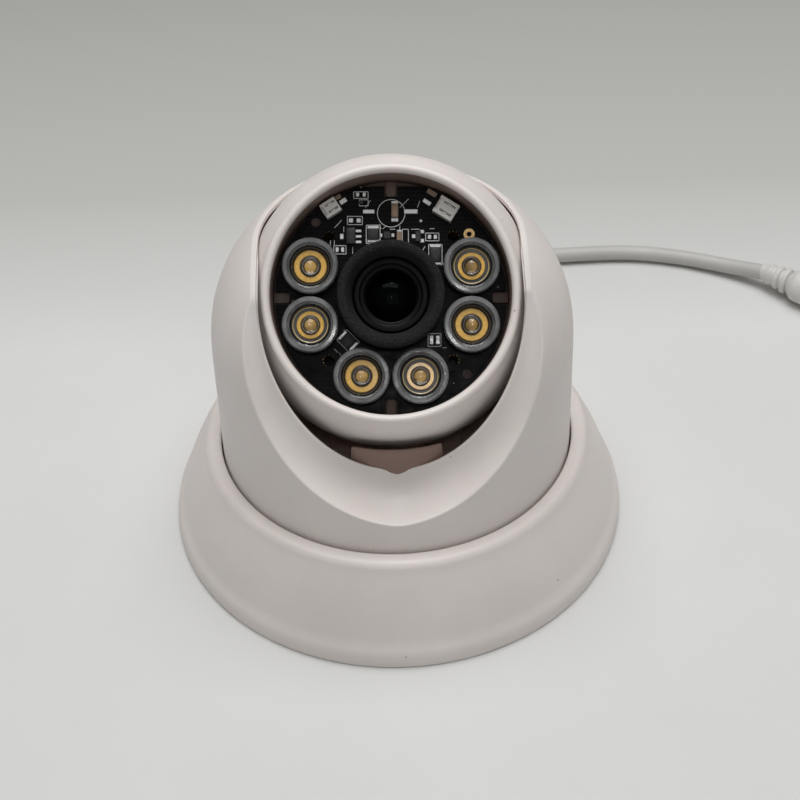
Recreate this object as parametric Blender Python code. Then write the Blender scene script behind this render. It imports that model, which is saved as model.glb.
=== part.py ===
"""Dome security camera: a ball eye in a turret shell on a round ceiling base.

The base lies flat on z = 0 and the lens looks towards -Y and up. Three joints: the turret pans
about Z, the ball's cup tilts about X, and the ball turns about the lens axis.
Lengths below are in millimetres and angles in degrees.
"""
import math

import bmesh
import bpy
from mathutils import Matrix, Vector

MM = 0.001
WELD = 3e-6              # metres; corners this close are one corner

# Driving sizes
BALL_R = 26.8           # outer radius of the ball
GAP = 0.3               # clearance between pieces that touch or slide
PLASTIC = 1.8           # wall of the moulded covers
FLANGE_REACH = 10.84    # how far the base spreads beyond the turret
FLANGE_H = 19.8         # height of the base cover
LENS_ELEVATION = 43.6   # lens axis above the horizontal at rest
BOARD_ROLL = -2.0       # turn of the ball about the lens axis at rest
FINE = 40               # sides of the large round pieces
ROUND = 20              # sides of the small round pieces
SMALL = 14              # sides of the optics and of the pieces on the cord
TINY = 10               # sides of screws and pins

# Tilt cup and the posts that carry it
CUP_WALL = 1.0
CUP_INNER = BALL_R + GAP
CUP_OUTER = CUP_INNER + CUP_WALL
CUP_EDGE = 22.4         # the cup's rim lies this far behind the ball's middle
CUP_HOLE_R = 9.0
ARM_HALF = 3.5
PIN_R = 2.0
POST_WALL = 1.2
POST_IN = CUP_OUTER + GAP
POST_OUT = POST_IN + POST_WALL
POST_HALF = 3.6

# Turret shell
POST_ROOM = 5.56        # from the ball's surface to the inside of the turret
SHELL_R = BALL_R + POST_ROOM + PLASTIC
DRAFT = math.tan(math.radians(1.0))
FOOT_R = SHELL_R + 2.1
FOOT_T = 2.0
FOOT_DROP = 2.6         # top of the foot below the top of the base cover
YOKE_T = 2.4
UNDER_BALL = 7.4        # free height under the cup
YOKE_TOP = FLANGE_H - FOOT_DROP - FOOT_T - GAP
BALL_Z = YOKE_TOP + UNDER_BALL + CUP_OUTER
SHOULDER_DROP = 6.6     # where the straight wall ends, below the ball's middle
SHOULDER_REACH = 22.9
SLOT_INSET = 3.5        # the slot is narrower than the ball by this on each side
SLOT_HALF = BALL_R - SLOT_INSET
SLOT_END_DROP = 7.2     # extra length of the slot's front end
SLOT_END_ANGLE = 41.0   # direction about which the front end is rounded
CHEEK_EDGE = 0.75       # wall left along the slot, outside the ball's clearance
SCOOP_SIDE = (1.1, 0.5, 0.2)     # width, depth and sink of the scoop at the cheeks
SCOOP_FRONT = (10.0, 12.0, 3.2)  # the same at the front
SCOOP_BLEND = 0.8
SCOOP_OVERRUN = 0.4     # the scoop starts inside the slot's wall

# Base
BASE_R = SHELL_R + FLANGE_REACH
BASE_WALL = 2.2
COVER_TAPER = 1.0       # the cover narrows by this above its foot
PLATE_T = 2.6
BOSS_R = 9.0
BOSS_BORE = 6.0
COVER_SCREWS_IN = 7.7   # cover screws stand this far inside the base's edge
MOUNT_HOLES_R = 22.0
MOUNT_HOLE_R = 2.25

# Cord
CORD_R = 1.8
TAIL_R = 1.5
GROMMET_R = CORD_R + 1.1
CORD_Z = 3.3
CORD_ROUTE = [(0, BASE_R - 23, CORD_Z), (0, BASE_R - 9, CORD_Z), (0, BASE_R + 5, CORD_Z),
              (1.4, BASE_R + 15.5, 2.6), (8.0, BASE_R + 25.3, 1.9), (22, BASE_R + 31.6, 1.9),
              (41.5, BASE_R + 32.6, 1.9), (58, BASE_R + 32.6, 1.9), (70.6, BASE_R + 29.8, 1.9),
              (81.5, 69.8, 2.5), (89.0, 64.9, 4.0)]
SPLIT_AT = (89.4, 64.6, 4.0)
SPLIT_HEADING = -41.0
SPLIT_LENGTH = 25.0
SPLIT_R = 3.4
VIDEO_ROUTE = [(109.7, 49.1, 4.0), (114.6, 44.8, 3.2), (121.5, 36.5, 1.7), (126.8, 22.0, 2.2),
               (128.0, 9.0, 5.3), (127.9, 2.2, 6.3)]
VIDEO_AT = (127.9, 1.9, 6.3)
VIDEO_HEADING = -90.5
POWER_ROUTE = [(107.6, 46.6, 4.0), (111.4, 43.0, 3.2), (114.6, 35.5, 1.7), (114.0, 21.0, 2.2),
               (110.2, 8.4, 4.3), (108.6, 2.2, 4.8)]
POWER_AT = (108.4, 1.9, 4.8)
POWER_HEADING = -101.0

# Ball shells, in the ball's own frame: +Z is the lens axis
BALL_WALL = 1.8
HOOD_R = 9.4
LED_LENS_R = 5.05
LED_CIRCLE_R = HOOD_R + LED_LENS_R + 0.75
EYE_R = LED_CIRCLE_R + LED_LENS_R + 0.95     # opening at the front of the ball
RIM_W = 1.7
SEAM_Z = -4.0
LEDGE_IN = EYE_R - 2.8
LEDGE_T = 1.2

# Boards and optics
BOARD_T = 1.6
BOARD_Z = 4.4           # back of the LED board
BOARD_TOP = BOARD_Z + BOARD_T
BOARD_R = EYE_R - GAP
NOTCH_W = 2.4
NOTCH_L = 2.9
SPACER_R = 1.8
HOLDER_PITCH = math.sqrt(2) * (LEDGE_IN - SPACER_R - 0.69)   # the four spacers stand inside the ledge
LENS_HOLE_R = HOOD_R - 1.1
LED_SPREAD = 20.0       # each LED from the middle of its pair
LED_LENS_TOP = 12.0
HOOD_BORE = HOOD_R - 2.5
HOOD_TOP = 15.0
BARREL_R = 5.95
HEAD_R = 6.6
HEAD_TOP = 11.5
SENSOR_BOARD_Z = -7.2
SENSOR_BOARD_T = 1.2
SENSOR_BOARD_W = 32.0
HOLDER_EARS = 11.0

SCREW_R = 0.95
SCREW_HOLE_R = SCREW_R + GAP
SCREW_HEAD_R = 2.1
SCREW_HEAD_H = 1.3
SCREW_SINK = 0.3        # cover screw heads lie this far inside the plate's face


def clear_scene():
    """Remove whatever the file opened with."""
    for thing in list(bpy.data.objects):
        bpy.data.objects.remove(thing, do_unlink=True)


def add_object(name, mesh, parent=None):
    """Link a mesh to the scene as one named object."""
    thing = bpy.data.objects.new(name, mesh)
    bpy.context.collection.objects.link(thing)
    thing.parent = parent
    return thing


def add_axis(name, height, turn, parent=None):
    """Add an empty on a joint's axis."""
    empty = bpy.data.objects.new(name, None)
    bpy.context.collection.objects.link(empty)
    empty.location = (0.0, 0.0, height * MM)
    empty.rotation_euler = turn
    empty.parent = parent
    return empty


def mesh_from(bm, name):
    """Store a bmesh, in millimetres, as a mesh in metres."""
    bmesh.ops.remove_doubles(bm, verts=bm.verts[:], dist=1e-5)
    bmesh.ops.recalc_face_normals(bm, faces=bm.faces[:])
    bmesh.ops.scale(bm, vec=(MM, MM, MM), verts=bm.verts[:])
    mesh = bpy.data.meshes.new(name)
    bm.to_mesh(mesh)
    bm.free()
    return mesh


def lathe(name, outline, steps=ROUND, parent=None):
    """Turn a closed outline of (radius, height) points about Z."""
    bm = bmesh.new()
    verts = [bm.verts.new((radius, 0.0, height)) for radius, height in outline]
    edges = [bm.edges.new((verts[i - 1], verts[i])) for i in range(len(verts))]
    bmesh.ops.spin(bm, geom=verts + edges, cent=(0, 0, 0), axis=(0, 0, 1),
                   angle=2 * math.pi, steps=steps, use_merge=True, use_duplicate=False)
    bmesh.ops.remove_doubles(bm, verts=bm.verts[:], dist=1e-4)
    on_axis = [edge for edge in bm.edges if not edge.link_faces]
    bmesh.ops.delete(bm, geom=on_axis, context="EDGES")
    return add_object(name, mesh_from(bm, name), parent)


def disc(name, radius, bottom, top, steps=ROUND, at=(0, 0), axis="Z", parent=None):
    """Make a plain round bar between two heights along an axis."""
    bm = bmesh.new()
    bmesh.ops.create_cone(bm, cap_ends=True, segments=steps, radius1=radius, radius2=radius,
                          depth=top - bottom)
    bmesh.ops.translate(bm, vec=(at[0], at[1], (top + bottom) / 2), verts=bm.verts[:])
    turns = {"Z": Matrix.Identity(3), "X": Matrix.Rotation(math.pi / 2, 3, "Y"),
             "Y": Matrix.Rotation(-math.pi / 2, 3, "X")}
    bmesh.ops.rotate(bm, cent=(0, 0, 0), matrix=turns[axis], verts=bm.verts[:])
    return add_object(name, mesh_from(bm, name), parent)


def block(name, low, high, parent=None, turn=0.0, bevel=0.0):
    """Make a box between two corners, turned about its own vertical and with softened edges."""
    bm = bmesh.new()
    bmesh.ops.create_cube(bm, size=1.0)
    size = Vector(high) - Vector(low)
    middle = (Vector(high) + Vector(low)) / 2
    bmesh.ops.scale(bm, vec=size, verts=bm.verts[:])
    if bevel:
        bmesh.ops.bevel(bm, geom=bm.edges[:], offset=bevel, segments=1, affect="EDGES")
    bmesh.ops.rotate(bm, cent=(0, 0, 0), matrix=Matrix.Rotation(math.radians(turn), 3, "Z"),
                     verts=bm.verts[:])
    bmesh.ops.translate(bm, vec=middle, verts=bm.verts[:])
    return add_object(name, mesh_from(bm, name), parent)


def combine(target, tool, operation):
    """Apply one Boolean, weld the slivers it leaves and drop the tool."""
    tool.hide_render = True
    tool.display_type = "WIRE"
    modifier = target.modifiers.new("boolean", "BOOLEAN")
    modifier.operation = operation
    modifier.object = tool
    bpy.context.view_layer.update()
    evaluated = target.evaluated_get(bpy.context.evaluated_depsgraph_get())
    mesh = bpy.data.meshes.new_from_object(evaluated)
    bm = bmesh.new()
    bm.from_mesh(mesh)
    bmesh.ops.remove_doubles(bm, verts=bm.verts[:], dist=WELD)
    bmesh.ops.dissolve_degenerate(bm, edges=bm.edges[:], dist=WELD)
    bm.to_mesh(mesh)
    bm.free()
    target.modifiers.clear()
    target.data = mesh
    bpy.data.objects.remove(tool, do_unlink=True)


def cut(target, *tools):
    """Subtract each tool."""
    for tool in tools:
        combine(target, tool, "DIFFERENCE")


def join(target, *tools):
    """Weld each tool on."""
    for tool in tools:
        combine(target, tool, "UNION")


def arc(centre, radii, start, end, count):
    """Points of an elliptic arc, ends included; angles in degrees from the radial direction."""
    points = []
    for i in range(count + 1):
        angle = math.radians(start + (end - start) * i / count)
        points.append((centre[0] + radii[0] * math.cos(angle), centre[1] + radii[1] * math.sin(angle)))
    return points


def sphere_arc(radius, low, high, count):
    """Points on a sphere's outline between two heights."""
    first = math.degrees(math.asin(low / radius))
    last = math.degrees(math.asin(high / radius))
    return arc((0, 0), (radius, radius), first, last, count)


def around(count, radius, start=0.0):
    """Evenly spaced places on a circle."""
    step = 2 * math.pi / count
    first = math.radians(start)
    angles = [first + i * step for i in range(count)]
    return [(radius * math.cos(angle), radius * math.sin(angle)) for angle in angles]


def screw(name, at, head_z, tip_z, parent, radius=SCREW_R, head=SCREW_HEAD_R):
    """A pan-head screw pointing up from its head, with a driver slot."""
    outline = [(0, head_z), (head * 0.8, head_z), (head, head_z + 0.4), (head, head_z + SCREW_HEAD_H),
               (radius, head_z + SCREW_HEAD_H), (radius, tip_z - radius), (0, tip_z)]
    body = lathe(name, outline, TINY, parent)
    slot = head * 0.6
    cut(body, block("slot", (-slot, -0.25, head_z - 1), (slot, 0.25, head_z + 0.6), parent))
    body.location = (at[0] * MM, at[1] * MM, 0.0)
    return body


# --- Turret shell -------------------------------------------------------------------------------

WALL_TOP = BALL_Z - SHOULDER_DROP
SHOULDER_R = SHELL_R - (WALL_TOP - FLANGE_H) * DRAFT
EDGE_RISE = math.sqrt((BALL_R + GAP + CHEEK_EDGE) ** 2 - SLOT_HALF ** 2)
EDGE_SHARE = (SLOT_HALF - (SHOULDER_R - SHOULDER_REACH)) / SHOULDER_REACH
SHOULDER_H = (EDGE_RISE + SHOULDER_DROP) / math.sqrt(1 - EDGE_SHARE ** 2)
SHELL_TOP = WALL_TOP + SHOULDER_H


def shell_radius(height):
    """Outer radius of the turret at a height."""
    if height <= WALL_TOP:
        return SHELL_R - (height - FLANGE_H) * DRAFT
    rise = min((height - WALL_TOP) / SHOULDER_H, 1.0)
    return SHOULDER_R - SHOULDER_REACH * (1 - math.sqrt(1 - rise * rise))


def distance_to_shell(direction, side, reach):
    """How far along a direction a point, moved sideways from the ball's middle, meets the shell."""
    low, high = 0.0, SHELL_TOP
    for _ in range(30):
        middle = (low + high) / 2
        point = Vector((0, 0, BALL_Z)) + direction * middle + side * reach
        inside = point.z < SHELL_TOP and math.hypot(point.x, point.y) < shell_radius(point.z)
        low, high = (middle, high) if inside else (low, middle)
    return low


def slot_sections():
    """The stations round the slot: a direction out of the ball, a sideways one, and the front share.

    The front share runs from 0 at the cheeks to 1 at the lowest point of the slot.
    """
    across = Vector((1, 0, 0))
    end = math.radians(SLOT_END_ANGLE)
    forward = Vector((0, -math.cos(end), math.sin(end)))
    down = Vector((0, -math.sin(end), -math.cos(end)))
    up = Vector((0, 0, 1))
    back = Vector((0, 1, 0))
    sections = []
    for i in range(21):
        angle = math.pi * i / 20
        sections.append((forward, across * math.cos(angle) + down * math.sin(angle), math.sin(angle)))
    for i in range(1, 7):
        lift = end + (math.pi / 2 - end) * i / 6
        sections.append((Vector((0, -math.cos(lift), math.sin(lift))), -across, 0.0))
    for i in range(1, 13):
        angle = math.pi * i / 12
        sections.append((up, back * math.sin(angle) - across * math.cos(angle), 0.0))
    for i in range(1, 6):
        lift = math.pi / 2 - (math.pi / 2 - end) * i / 6
        sections.append((Vector((0, -math.cos(lift), math.sin(lift))), across, 0.0))
    return sections


def slot_reach(share):
    """Half width of the slot, longer towards the front end."""
    longest = SLOT_HALF + SLOT_END_DROP
    return 1 / math.sqrt((1 - share ** 2) / SLOT_HALF ** 2 + share ** 2 / longest ** 2)


def scoop_profile(direction, side, share, grow):
    """Out and sideways distances of the scoop's hollow, from the slot's edge past the crease."""
    angle_share = math.asin(min(share, 1.0)) / (math.pi / 2)
    blend = angle_share ** SCOOP_BLEND if angle_share > 0 else 0.0
    width, depth, sink = [a + (b - a) * blend for a, b in zip(SCOOP_SIDE, SCOOP_FRONT)]
    reach = slot_reach(share)
    edge = distance_to_shell(direction, side, reach) - depth
    crease = distance_to_shell(direction, side, reach + width)
    start = Vector((edge, reach - SCOOP_OVERRUN))
    corner = Vector((edge - sink, reach + width * 0.55))
    finish = Vector((crease, reach + width))
    points = []
    for i in range(5):
        t = i / 4
        point = start * (1 - t) ** 2 + corner * 2 * t * (1 - t) + finish * t ** 2
        points.append(point + Vector((-grow, grow * min(1, 4 * t))))
    points.append(finish + Vector((SHELL_R, width * 0.2 + grow)))
    return points


def slot_solid(name, profile_of):
    """Loft a cutter through the stations; it closes on the ball's middle and far outside."""
    middle = Vector((0, 0, BALL_Z))
    bm = bmesh.new()
    rings = []
    for direction, side, share in slot_sections():
        ring = [bm.verts.new(middle + direction * out + side * reach)
                for out, reach in profile_of(direction, side, share)]
        rings.append(ring)
    far_angle = math.radians((SLOT_END_ANGLE + 90) / 2)
    near = bm.verts.new(middle)
    far = bm.verts.new(middle + Vector((0, -math.cos(far_angle), math.sin(far_angle))) * SHELL_R * 3)
    for i, ring in enumerate(rings):
        before = rings[i - 1]
        bm.faces.new((near, before[0], ring[0]))
        bm.faces.new((far, ring[-1], before[-1]))
        for j in range(len(ring) - 1):
            bm.faces.new((before[j], before[j + 1], ring[j + 1], ring[j]))
    return add_object(name, mesh_from(bm, name))


def shell_outline(wall):
    """Outline of the turret's outside, or of its cavity when a wall is taken off."""
    bottom = FLANGE_H - FOOT_DROP - FOOT_T
    centre = (SHOULDER_R - SHOULDER_REACH, WALL_TOP)
    shoulder = arc(centre, (SHOULDER_REACH - wall, SHOULDER_H - wall), 0, 90, 12)
    if wall:
        return [(0, bottom - 1), (SHELL_R - wall, bottom - 1)] + shoulder + [(0, SHELL_TOP - wall)]
    foot = [(FOOT_R, bottom), (FOOT_R, bottom + FOOT_T), (SHELL_R, bottom + FOOT_T), (SHELL_R, FLANGE_H)]
    return [(0, bottom)] + foot + shoulder + [(0, SHELL_TOP)]


YOKE_SCREWS = around(3, SHELL_R - PLASTIC - 2.55, 30.0)
SHELL_BOSS_R = 2.9
YOKE_SCREW_TOP = YOKE_TOP + 5.0


def make_turret_shell(pan):
    """The outer turret cover with its long slot and the scooped hollow round it."""
    shell = lathe("turret_shell", shell_outline(0.0), FINE, pan)
    cavity = lathe("cavity", shell_outline(PLASTIC), FINE)
    cut(cavity, slot_solid("backing", lambda *place: scoop_profile(*place, grow=PLASTIC)))
    scoop = slot_solid("scoop", lambda *place: scoop_profile(*place, grow=0.0))
    through = slot_solid("slot", lambda direction, side, share:
                         [(2.0, slot_reach(share)), (SHELL_R * 2, slot_reach(share))])
    clearance = lathe("ball_clearance", sphere_arc(BALL_R + GAP, -BALL_R, BALL_R, 24), FINE)
    clearance.location.z = BALL_Z * MM
    cut(shell, scoop, cavity, through, clearance)
    foot = FLANGE_H - FOOT_DROP - FOOT_T
    for x, y in YOKE_SCREWS:
        join(shell, disc("boss", SHELL_BOSS_R, foot, YOKE_SCREW_TOP + 1.5, TINY, (x, y)))
        cut(shell, disc("pilot", SCREW_HOLE_R, foot - 1, YOKE_SCREW_TOP + 0.6, TINY, (x, y)))
    return shell


# --- Base -----------------------------------------------------------------------------------------

COVER_SCREWS = around(3, BASE_R - COVER_SCREWS_IN, 30.0)
COVER_BOSS_TOP = YOKE_TOP - 1.4
COVER_BOSS_R = 2.5


def make_base_cover():
    """The sloped ring that covers the base and holds the turret's foot down."""
    lip = SHELL_R + GAP
    slope_foot = BASE_R - COVER_TAPER
    slope_top = lip + 2.7
    outside = [(BASE_R, 0), (BASE_R, 1.0), (BASE_R - 0.35, 3.2), (slope_foot - 0.1, 4.4)]
    shoulder = arc((slope_top - 0.4, FLANGE_H - 2.0), (1.9, 2.0), 20, 90, 4)
    inside = [(lip, FLANGE_H - 0.4), (lip, FLANGE_H - BASE_WALL), (slope_top - 2.0, FLANGE_H - BASE_WALL),
              (FOOT_R + 0.9, FLANGE_H - BASE_WALL - 0.6), (slope_foot - BASE_WALL, 4.2),
              (BASE_R - BASE_WALL, 0)]
    cover = lathe("base_cover", outside + shoulder + inside, FINE)
    for x, y in COVER_SCREWS:
        join(cover, disc("boss", COVER_BOSS_R, PLATE_T + GAP, COVER_BOSS_TOP, TINY, (x, y)))
        cut(cover, disc("pilot", SCREW_HOLE_R, 0, COVER_BOSS_TOP - 2, TINY, (x, y)))
    cut(cover, disc("exit", GROMMET_R + GAP, BASE_R - 9, BASE_R + 2, ROUND, (0, -CORD_Z), "Y"))
    half = GROMMET_R + GAP
    cut(cover, block("exit_mouth", (-half, BASE_R - 9, -1), (half, BASE_R + 2, CORD_Z)))
    return cover


def make_base_plate():
    """The mounting plate, with the hollow boss the turret pans on."""
    edge = BASE_R - BASE_WALL - COVER_TAPER - GAP
    outline = [(BOSS_BORE, 0), (edge, 0), (edge, PLATE_T - 0.4), (edge - 0.4, PLATE_T),
               (BOSS_R + 2, PLATE_T), (BOSS_R, PLATE_T + 2), (BOSS_R, YOKE_TOP + 0.9),
               (BOSS_BORE, YOKE_TOP + 0.9)]
    plate = lathe("base_plate", outline, FINE)
    for x, y in COVER_SCREWS:
        cut(plate, disc("hole", SCREW_HOLE_R, -1, PLATE_T + 1, TINY, (x, y)))
        cut(plate, disc("sink", SCREW_HEAD_R + GAP, -1, SCREW_SINK + SCREW_HEAD_H + GAP, TINY, (x, y)))
    for x, y in around(2, MOUNT_HOLES_R):
        cut(plate, disc("mount_hole", MOUNT_HOLE_R, -1, PLATE_T + 1, ROUND, (x, y)))
    channel = GROMMET_R + GAP
    cut(plate, block("channel", (-channel, BOSS_R + 4, -1), (channel, BASE_R, PLATE_T + 1)))
    return plate


def make_base_fittings():
    """Grommet, cord clip, pan retainer and cover screws."""
    start = BASE_R - 6.0
    bore = CORD_R + GAP
    ribs = []
    for i in range(3):
        y = BASE_R + 0.4 + 1.5 * i
        ribs += [(GROMMET_R - 0.2 * i, y), (GROMMET_R - 0.2 * i, y + 0.8), (GROMMET_R - 0.7, y + 1.0),
                 (GROMMET_R - 0.7, y + 1.4)]
    outline = [(bore, start), (GROMMET_R, start)] + ribs + [(bore, BASE_R + 4.9)]
    grommet = lathe("cable_grommet", outline, SMALL)
    grommet.rotation_euler = (-math.pi / 2, 0, 0)
    grommet.location = (0, 0, CORD_Z * MM)
    clip_y = BASE_R - 14.0
    clip = block("cord_clip", (-6.5, clip_y, PLATE_T + GAP), (6.5, clip_y + 4, CORD_Z + 3.6), bevel=0.5)
    cut(clip, disc("channel", bore, clip_y - 1, clip_y + 5, TINY, (0, -CORD_Z), "Y"))
    cut(clip, block("mouth", (-bore, clip_y - 1, 0), (bore, clip_y + 5, CORD_Z)))
    top = YOKE_TOP + 0.9 + GAP
    spigot = BOSS_BORE - GAP
    outline = [(4.2, YOKE_TOP - 6), (spigot, YOKE_TOP - 6), (spigot, top), (13.4, top), (13.4, top + 1.2),
               (12.8, top + 1.8), (4.2, top + 1.8)]
    retainer = lathe("pan_retainer", outline, ROUND)
    screws = []
    for i, place in enumerate(COVER_SCREWS):
        screws.append(screw(f"cover_screw_{i + 1}", place, SCREW_SINK, COVER_BOSS_TOP - 2.6, None))
    return [grommet, clip], [retainer], screws


# --- Turret insides -------------------------------------------------------------------------------

def make_yoke(pan):
    """The turning plate, its two posts for the cup's pins and the front guard under the ball."""
    low = YOKE_TOP - YOKE_T
    rim = SHELL_R - PLASTIC - GAP
    bore = BOSS_R + GAP
    outline = [(bore, low), (rim, low), (rim, YOKE_TOP), (bore, YOKE_TOP)]
    yoke = lathe("turret_yoke", outline, FINE, pan)
    top = BALL_Z + POST_HALF - 0.4
    for side in (-1, 1):
        xs = sorted((side * POST_IN, side * POST_OUT))
        post = block("post", (xs[0], -POST_HALF, YOKE_TOP - 1), (xs[1], POST_HALF, top))
        join(yoke, post)
        cut(yoke, disc("pin_hole", PIN_R + GAP, xs[0] - 1, xs[1] + 1, ROUND, (-BALL_Z, 0), "X"))
    guard_y = -CUP_OUTER * 0.66
    guard_top = BALL_Z - CUP_OUTER * 0.8
    join(yoke, block("guard", (-8.4, guard_y - 1.5, YOKE_TOP - 1), (8.4, guard_y, guard_top)))
    for x, y in YOKE_SCREWS:
        cut(yoke, disc("hole", SCREW_HOLE_R, low - 1, YOKE_TOP + 1, TINY, (x, y)))
    return yoke


def make_turret_fittings(pan):
    """Pan washer and the screws that hold the shell on the yoke."""
    low = YOKE_TOP + 0.25
    bore = BOSS_R + GAP
    outline = [(bore, low), (13.0, low), (13.0, low + 0.6), (bore, low + 0.6)]
    washer = lathe("pan_washer", outline, ROUND, pan)
    head = YOKE_TOP - YOKE_T - SCREW_HEAD_H - GAP
    screws = []
    for i, place in enumerate(YOKE_SCREWS):
        screws.append(screw(f"shell_screw_{i + 1}", place, head, YOKE_SCREW_TOP, pan))
    return washer, screws


def make_tilt_cup(tilt):
    """The cup behind the ball, with two arms that end in pins on the tilt axis."""
    low = -math.sqrt(CUP_INNER ** 2 - CUP_HOLE_R ** 2)
    outer = sphere_arc(CUP_OUTER, low, ARM_HALF, 10)
    inner = sphere_arc(CUP_INNER, low, ARM_HALF, 10)
    cup = lathe("tilt_cup", outer + inner[::-1], FINE, tilt)
    wide = CUP_OUTER + 1
    for side in (-1, 1):
        ys = sorted((side * ARM_HALF, side * wide))
        cut(cup, block("beside_arm", (-wide, ys[0], -CUP_EDGE), (wide, ys[1], wide), tilt))
        xs = sorted((side * (CUP_OUTER - 0.5), side * (POST_OUT - 0.1)))
        join(cup, disc("pin", PIN_R, xs[0], xs[1], ROUND, axis="X", parent=tilt))
    return cup


# --- Ball -------------------------------------------------------------------------------------------

def make_ball_shells(ball):
    """Front shell with the eye's rim and board ledge, and the plain rear shell."""
    inner = BALL_R - BALL_WALL
    rim_r = EYE_R + RIM_W
    rim_z = math.sqrt(BALL_R ** 2 - rim_r ** 2)
    core = EYE_R + BALL_WALL * 0.9
    core_top = math.sqrt(inner ** 2 - core ** 2) - 1.0
    outside = sphere_arc(BALL_R, SEAM_Z, rim_z - 0.2, 8)
    lip = arc((EYE_R + RIM_W / 2, rim_z), (RIM_W / 2, 1.1), 15, 180, 4)
    ledge_top = BOARD_Z - GAP
    ledge_low = ledge_top - LEDGE_T
    ledge = [(EYE_R, ledge_top), (LEDGE_IN, ledge_top), (LEDGE_IN, ledge_low), (core, ledge_low),
             (core, core_top)]
    inside = sphere_arc(inner, SEAM_Z, core_top - 0.3, 3)[::-1]
    front = lathe("ball_front_shell", outside + lip + ledge + inside, FINE, ball)
    for turn in (0, 90, 180, 270):
        rib = block("rib", (EYE_R - NOTCH_L + 1.0, -NOTCH_W / 2 + GAP, ledge_top - 0.6),
                    (EYE_R + 0.6, NOTCH_W / 2 - GAP, BOARD_TOP - 0.3))
        rib.parent = ball
        rib.rotation_euler.z = math.radians(turn)
        join(front, rib)

    pole = -math.sqrt(BALL_R ** 2 - 4.0 ** 2)
    lip_out = math.sqrt(inner ** 2 - SEAM_Z ** 2) - GAP
    rear_out = sphere_arc(BALL_R, pole, SEAM_Z - GAP, 8)
    lip_in = lip_out - 1.0
    lip = [(lip_out, SEAM_Z - GAP), (lip_out, SEAM_Z + 1.8), (lip_in, SEAM_Z + 1.8), (lip_in, SEAM_Z - 1.0)]
    rear_in = sphere_arc(inner, -math.sqrt(inner ** 2 - 4.0 ** 2), SEAM_Z - 4.0, 5)[::-1]
    rear = lathe("ball_rear_shell", rear_out + lip + rear_in, FINE, ball)
    return front, rear


def polar(reach, angle):
    """The place at a radius and a direction in degrees."""
    turn = math.radians(angle)
    return reach * math.cos(turn), reach * math.sin(turn)


def board_holes():
    """The four spacer holes of the LED board."""
    half = HOLDER_PITCH / 2
    return [(half, half), (-half, half), (-half, -half), (half, -half)]


def make_led_board(ball):
    """The round LED board: lens hole, four edge notches, spacer holes and two tooling holes."""
    board = disc("led_board", BOARD_R, BOARD_Z, BOARD_TOP, FINE, parent=ball)
    cut(board, disc("lens_hole", LENS_HOLE_R, 0, 10, ROUND, parent=ball))
    cut(board, block("flat", (-BOARD_R, BOARD_R - 0.7, 0), (BOARD_R, BOARD_R + 1, 10), ball))
    for turn in (0, 90, 180, 270):
        notch = block("notch", (EYE_R - NOTCH_L, -NOTCH_W / 2, 0), (EYE_R + 1, NOTCH_W / 2, 10), ball)
        notch.rotation_euler.z = math.radians(turn)
        cut(board, notch)
    for x, y in board_holes():
        cut(board, disc("hole", 1.1, 0, 10, TINY, (x, y), parent=ball))
    for angle in (134.4, -45.0):
        place = polar(BOARD_R - 1.55, angle)
        cut(board, disc("tooling_hole", 0.95, 0, 10, TINY, place, parent=ball))
    return board


def on_board(name, reach, angle, size, ball, turn=0.0, bevel=0.06):
    """A block on the front of the LED board, at a distance and a direction from the lens axis."""
    x, y = polar(reach, angle)
    low = BOARD_TOP + 0.15
    near = (x - size[0] / 2, y - size[1] / 2, low)
    far = (x + size[0] / 2, y + size[1] / 2, low + size[2])
    return block(name, near, far, ball, turn, bevel)


def make_board_parts(ball):
    """Sockets at the board's edge, and driver chip, capacitor and resistors around the hood."""
    left = on_board("lead_socket_left", BOARD_R - 1.6, 124.0, (3.2, 2.8, 2.4), ball, 33.0, 0.15)
    right = on_board("lead_socket_right", BOARD_R - 2.25, 57.9, (4.0, 3.4, 2.6), ball, -32.0, 0.15)
    chip = on_board("driver_chip", HOOD_R + 3.87, 122.9, (1.6, 2.9, 1.1), ball, bevel=0.12)
    capacitor = on_board("board_capacitor", HOOD_R + 6.37, 87.5, (1.5, 3.5, 1.2), ball, bevel=0.1)
    resistors = [
        on_board("resistor_1", HOOD_R + 2.42, 106.2, (2.4, 2.9, 0.6), ball),
        on_board("resistor_2", HOOD_R + 1.8, 43.9, (2.1, 3.3, 0.6), ball),
        on_board("resistor_3", HOOD_R + 1.56, 225.0, (2.7, 2.1, 0.6), ball, 45.0),
    ]
    return left, right, chip, capacitor, resistors


def led_places():
    """Six LEDs in three pairs, at the right, left and bottom of the lens."""
    places = []
    for middle in (0.0, 180.0, 270.0):
        for side in (-1, 1):
            places.append(polar(LED_CIRCLE_R, middle + side * LED_SPREAD))
    return places


def make_leds(ball):
    """An emitter and a stepped clear lens at each place."""
    emitters = []
    lenses = []
    low = BOARD_TOP + 0.15
    top = LED_LENS_TOP
    for i, (x, y) in enumerate(led_places()):
        outline = [(0, low), (1.9, low), (1.9, low + 0.9), (1.3, low + 1.3), (0, low + 1.5)]
        emitter = lathe(f"led_{i + 1}", outline, TINY, ball)
        outline = [(2.3, low), (LED_LENS_R - 0.5, low), (LED_LENS_R, top - 0.5), (LED_LENS_R - 0.2, top),
                   (LED_LENS_R - 0.95, top), (LED_LENS_R - 1.15, top - 0.7), (2.9, top - 0.8),
                   (2.5, top - 1.5), (0, top - 0.6), (0, top - 3.4), (2.3, top - 3.9)]
        lens = lathe(f"led_lens_{i + 1}", outline, SMALL, ball)
        for piece in (emitter, lens):
            piece.location = (x * MM, y * MM, 0.0)
        emitters.append(emitter)
        lenses.append(lens)
    return emitters, lenses


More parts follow.
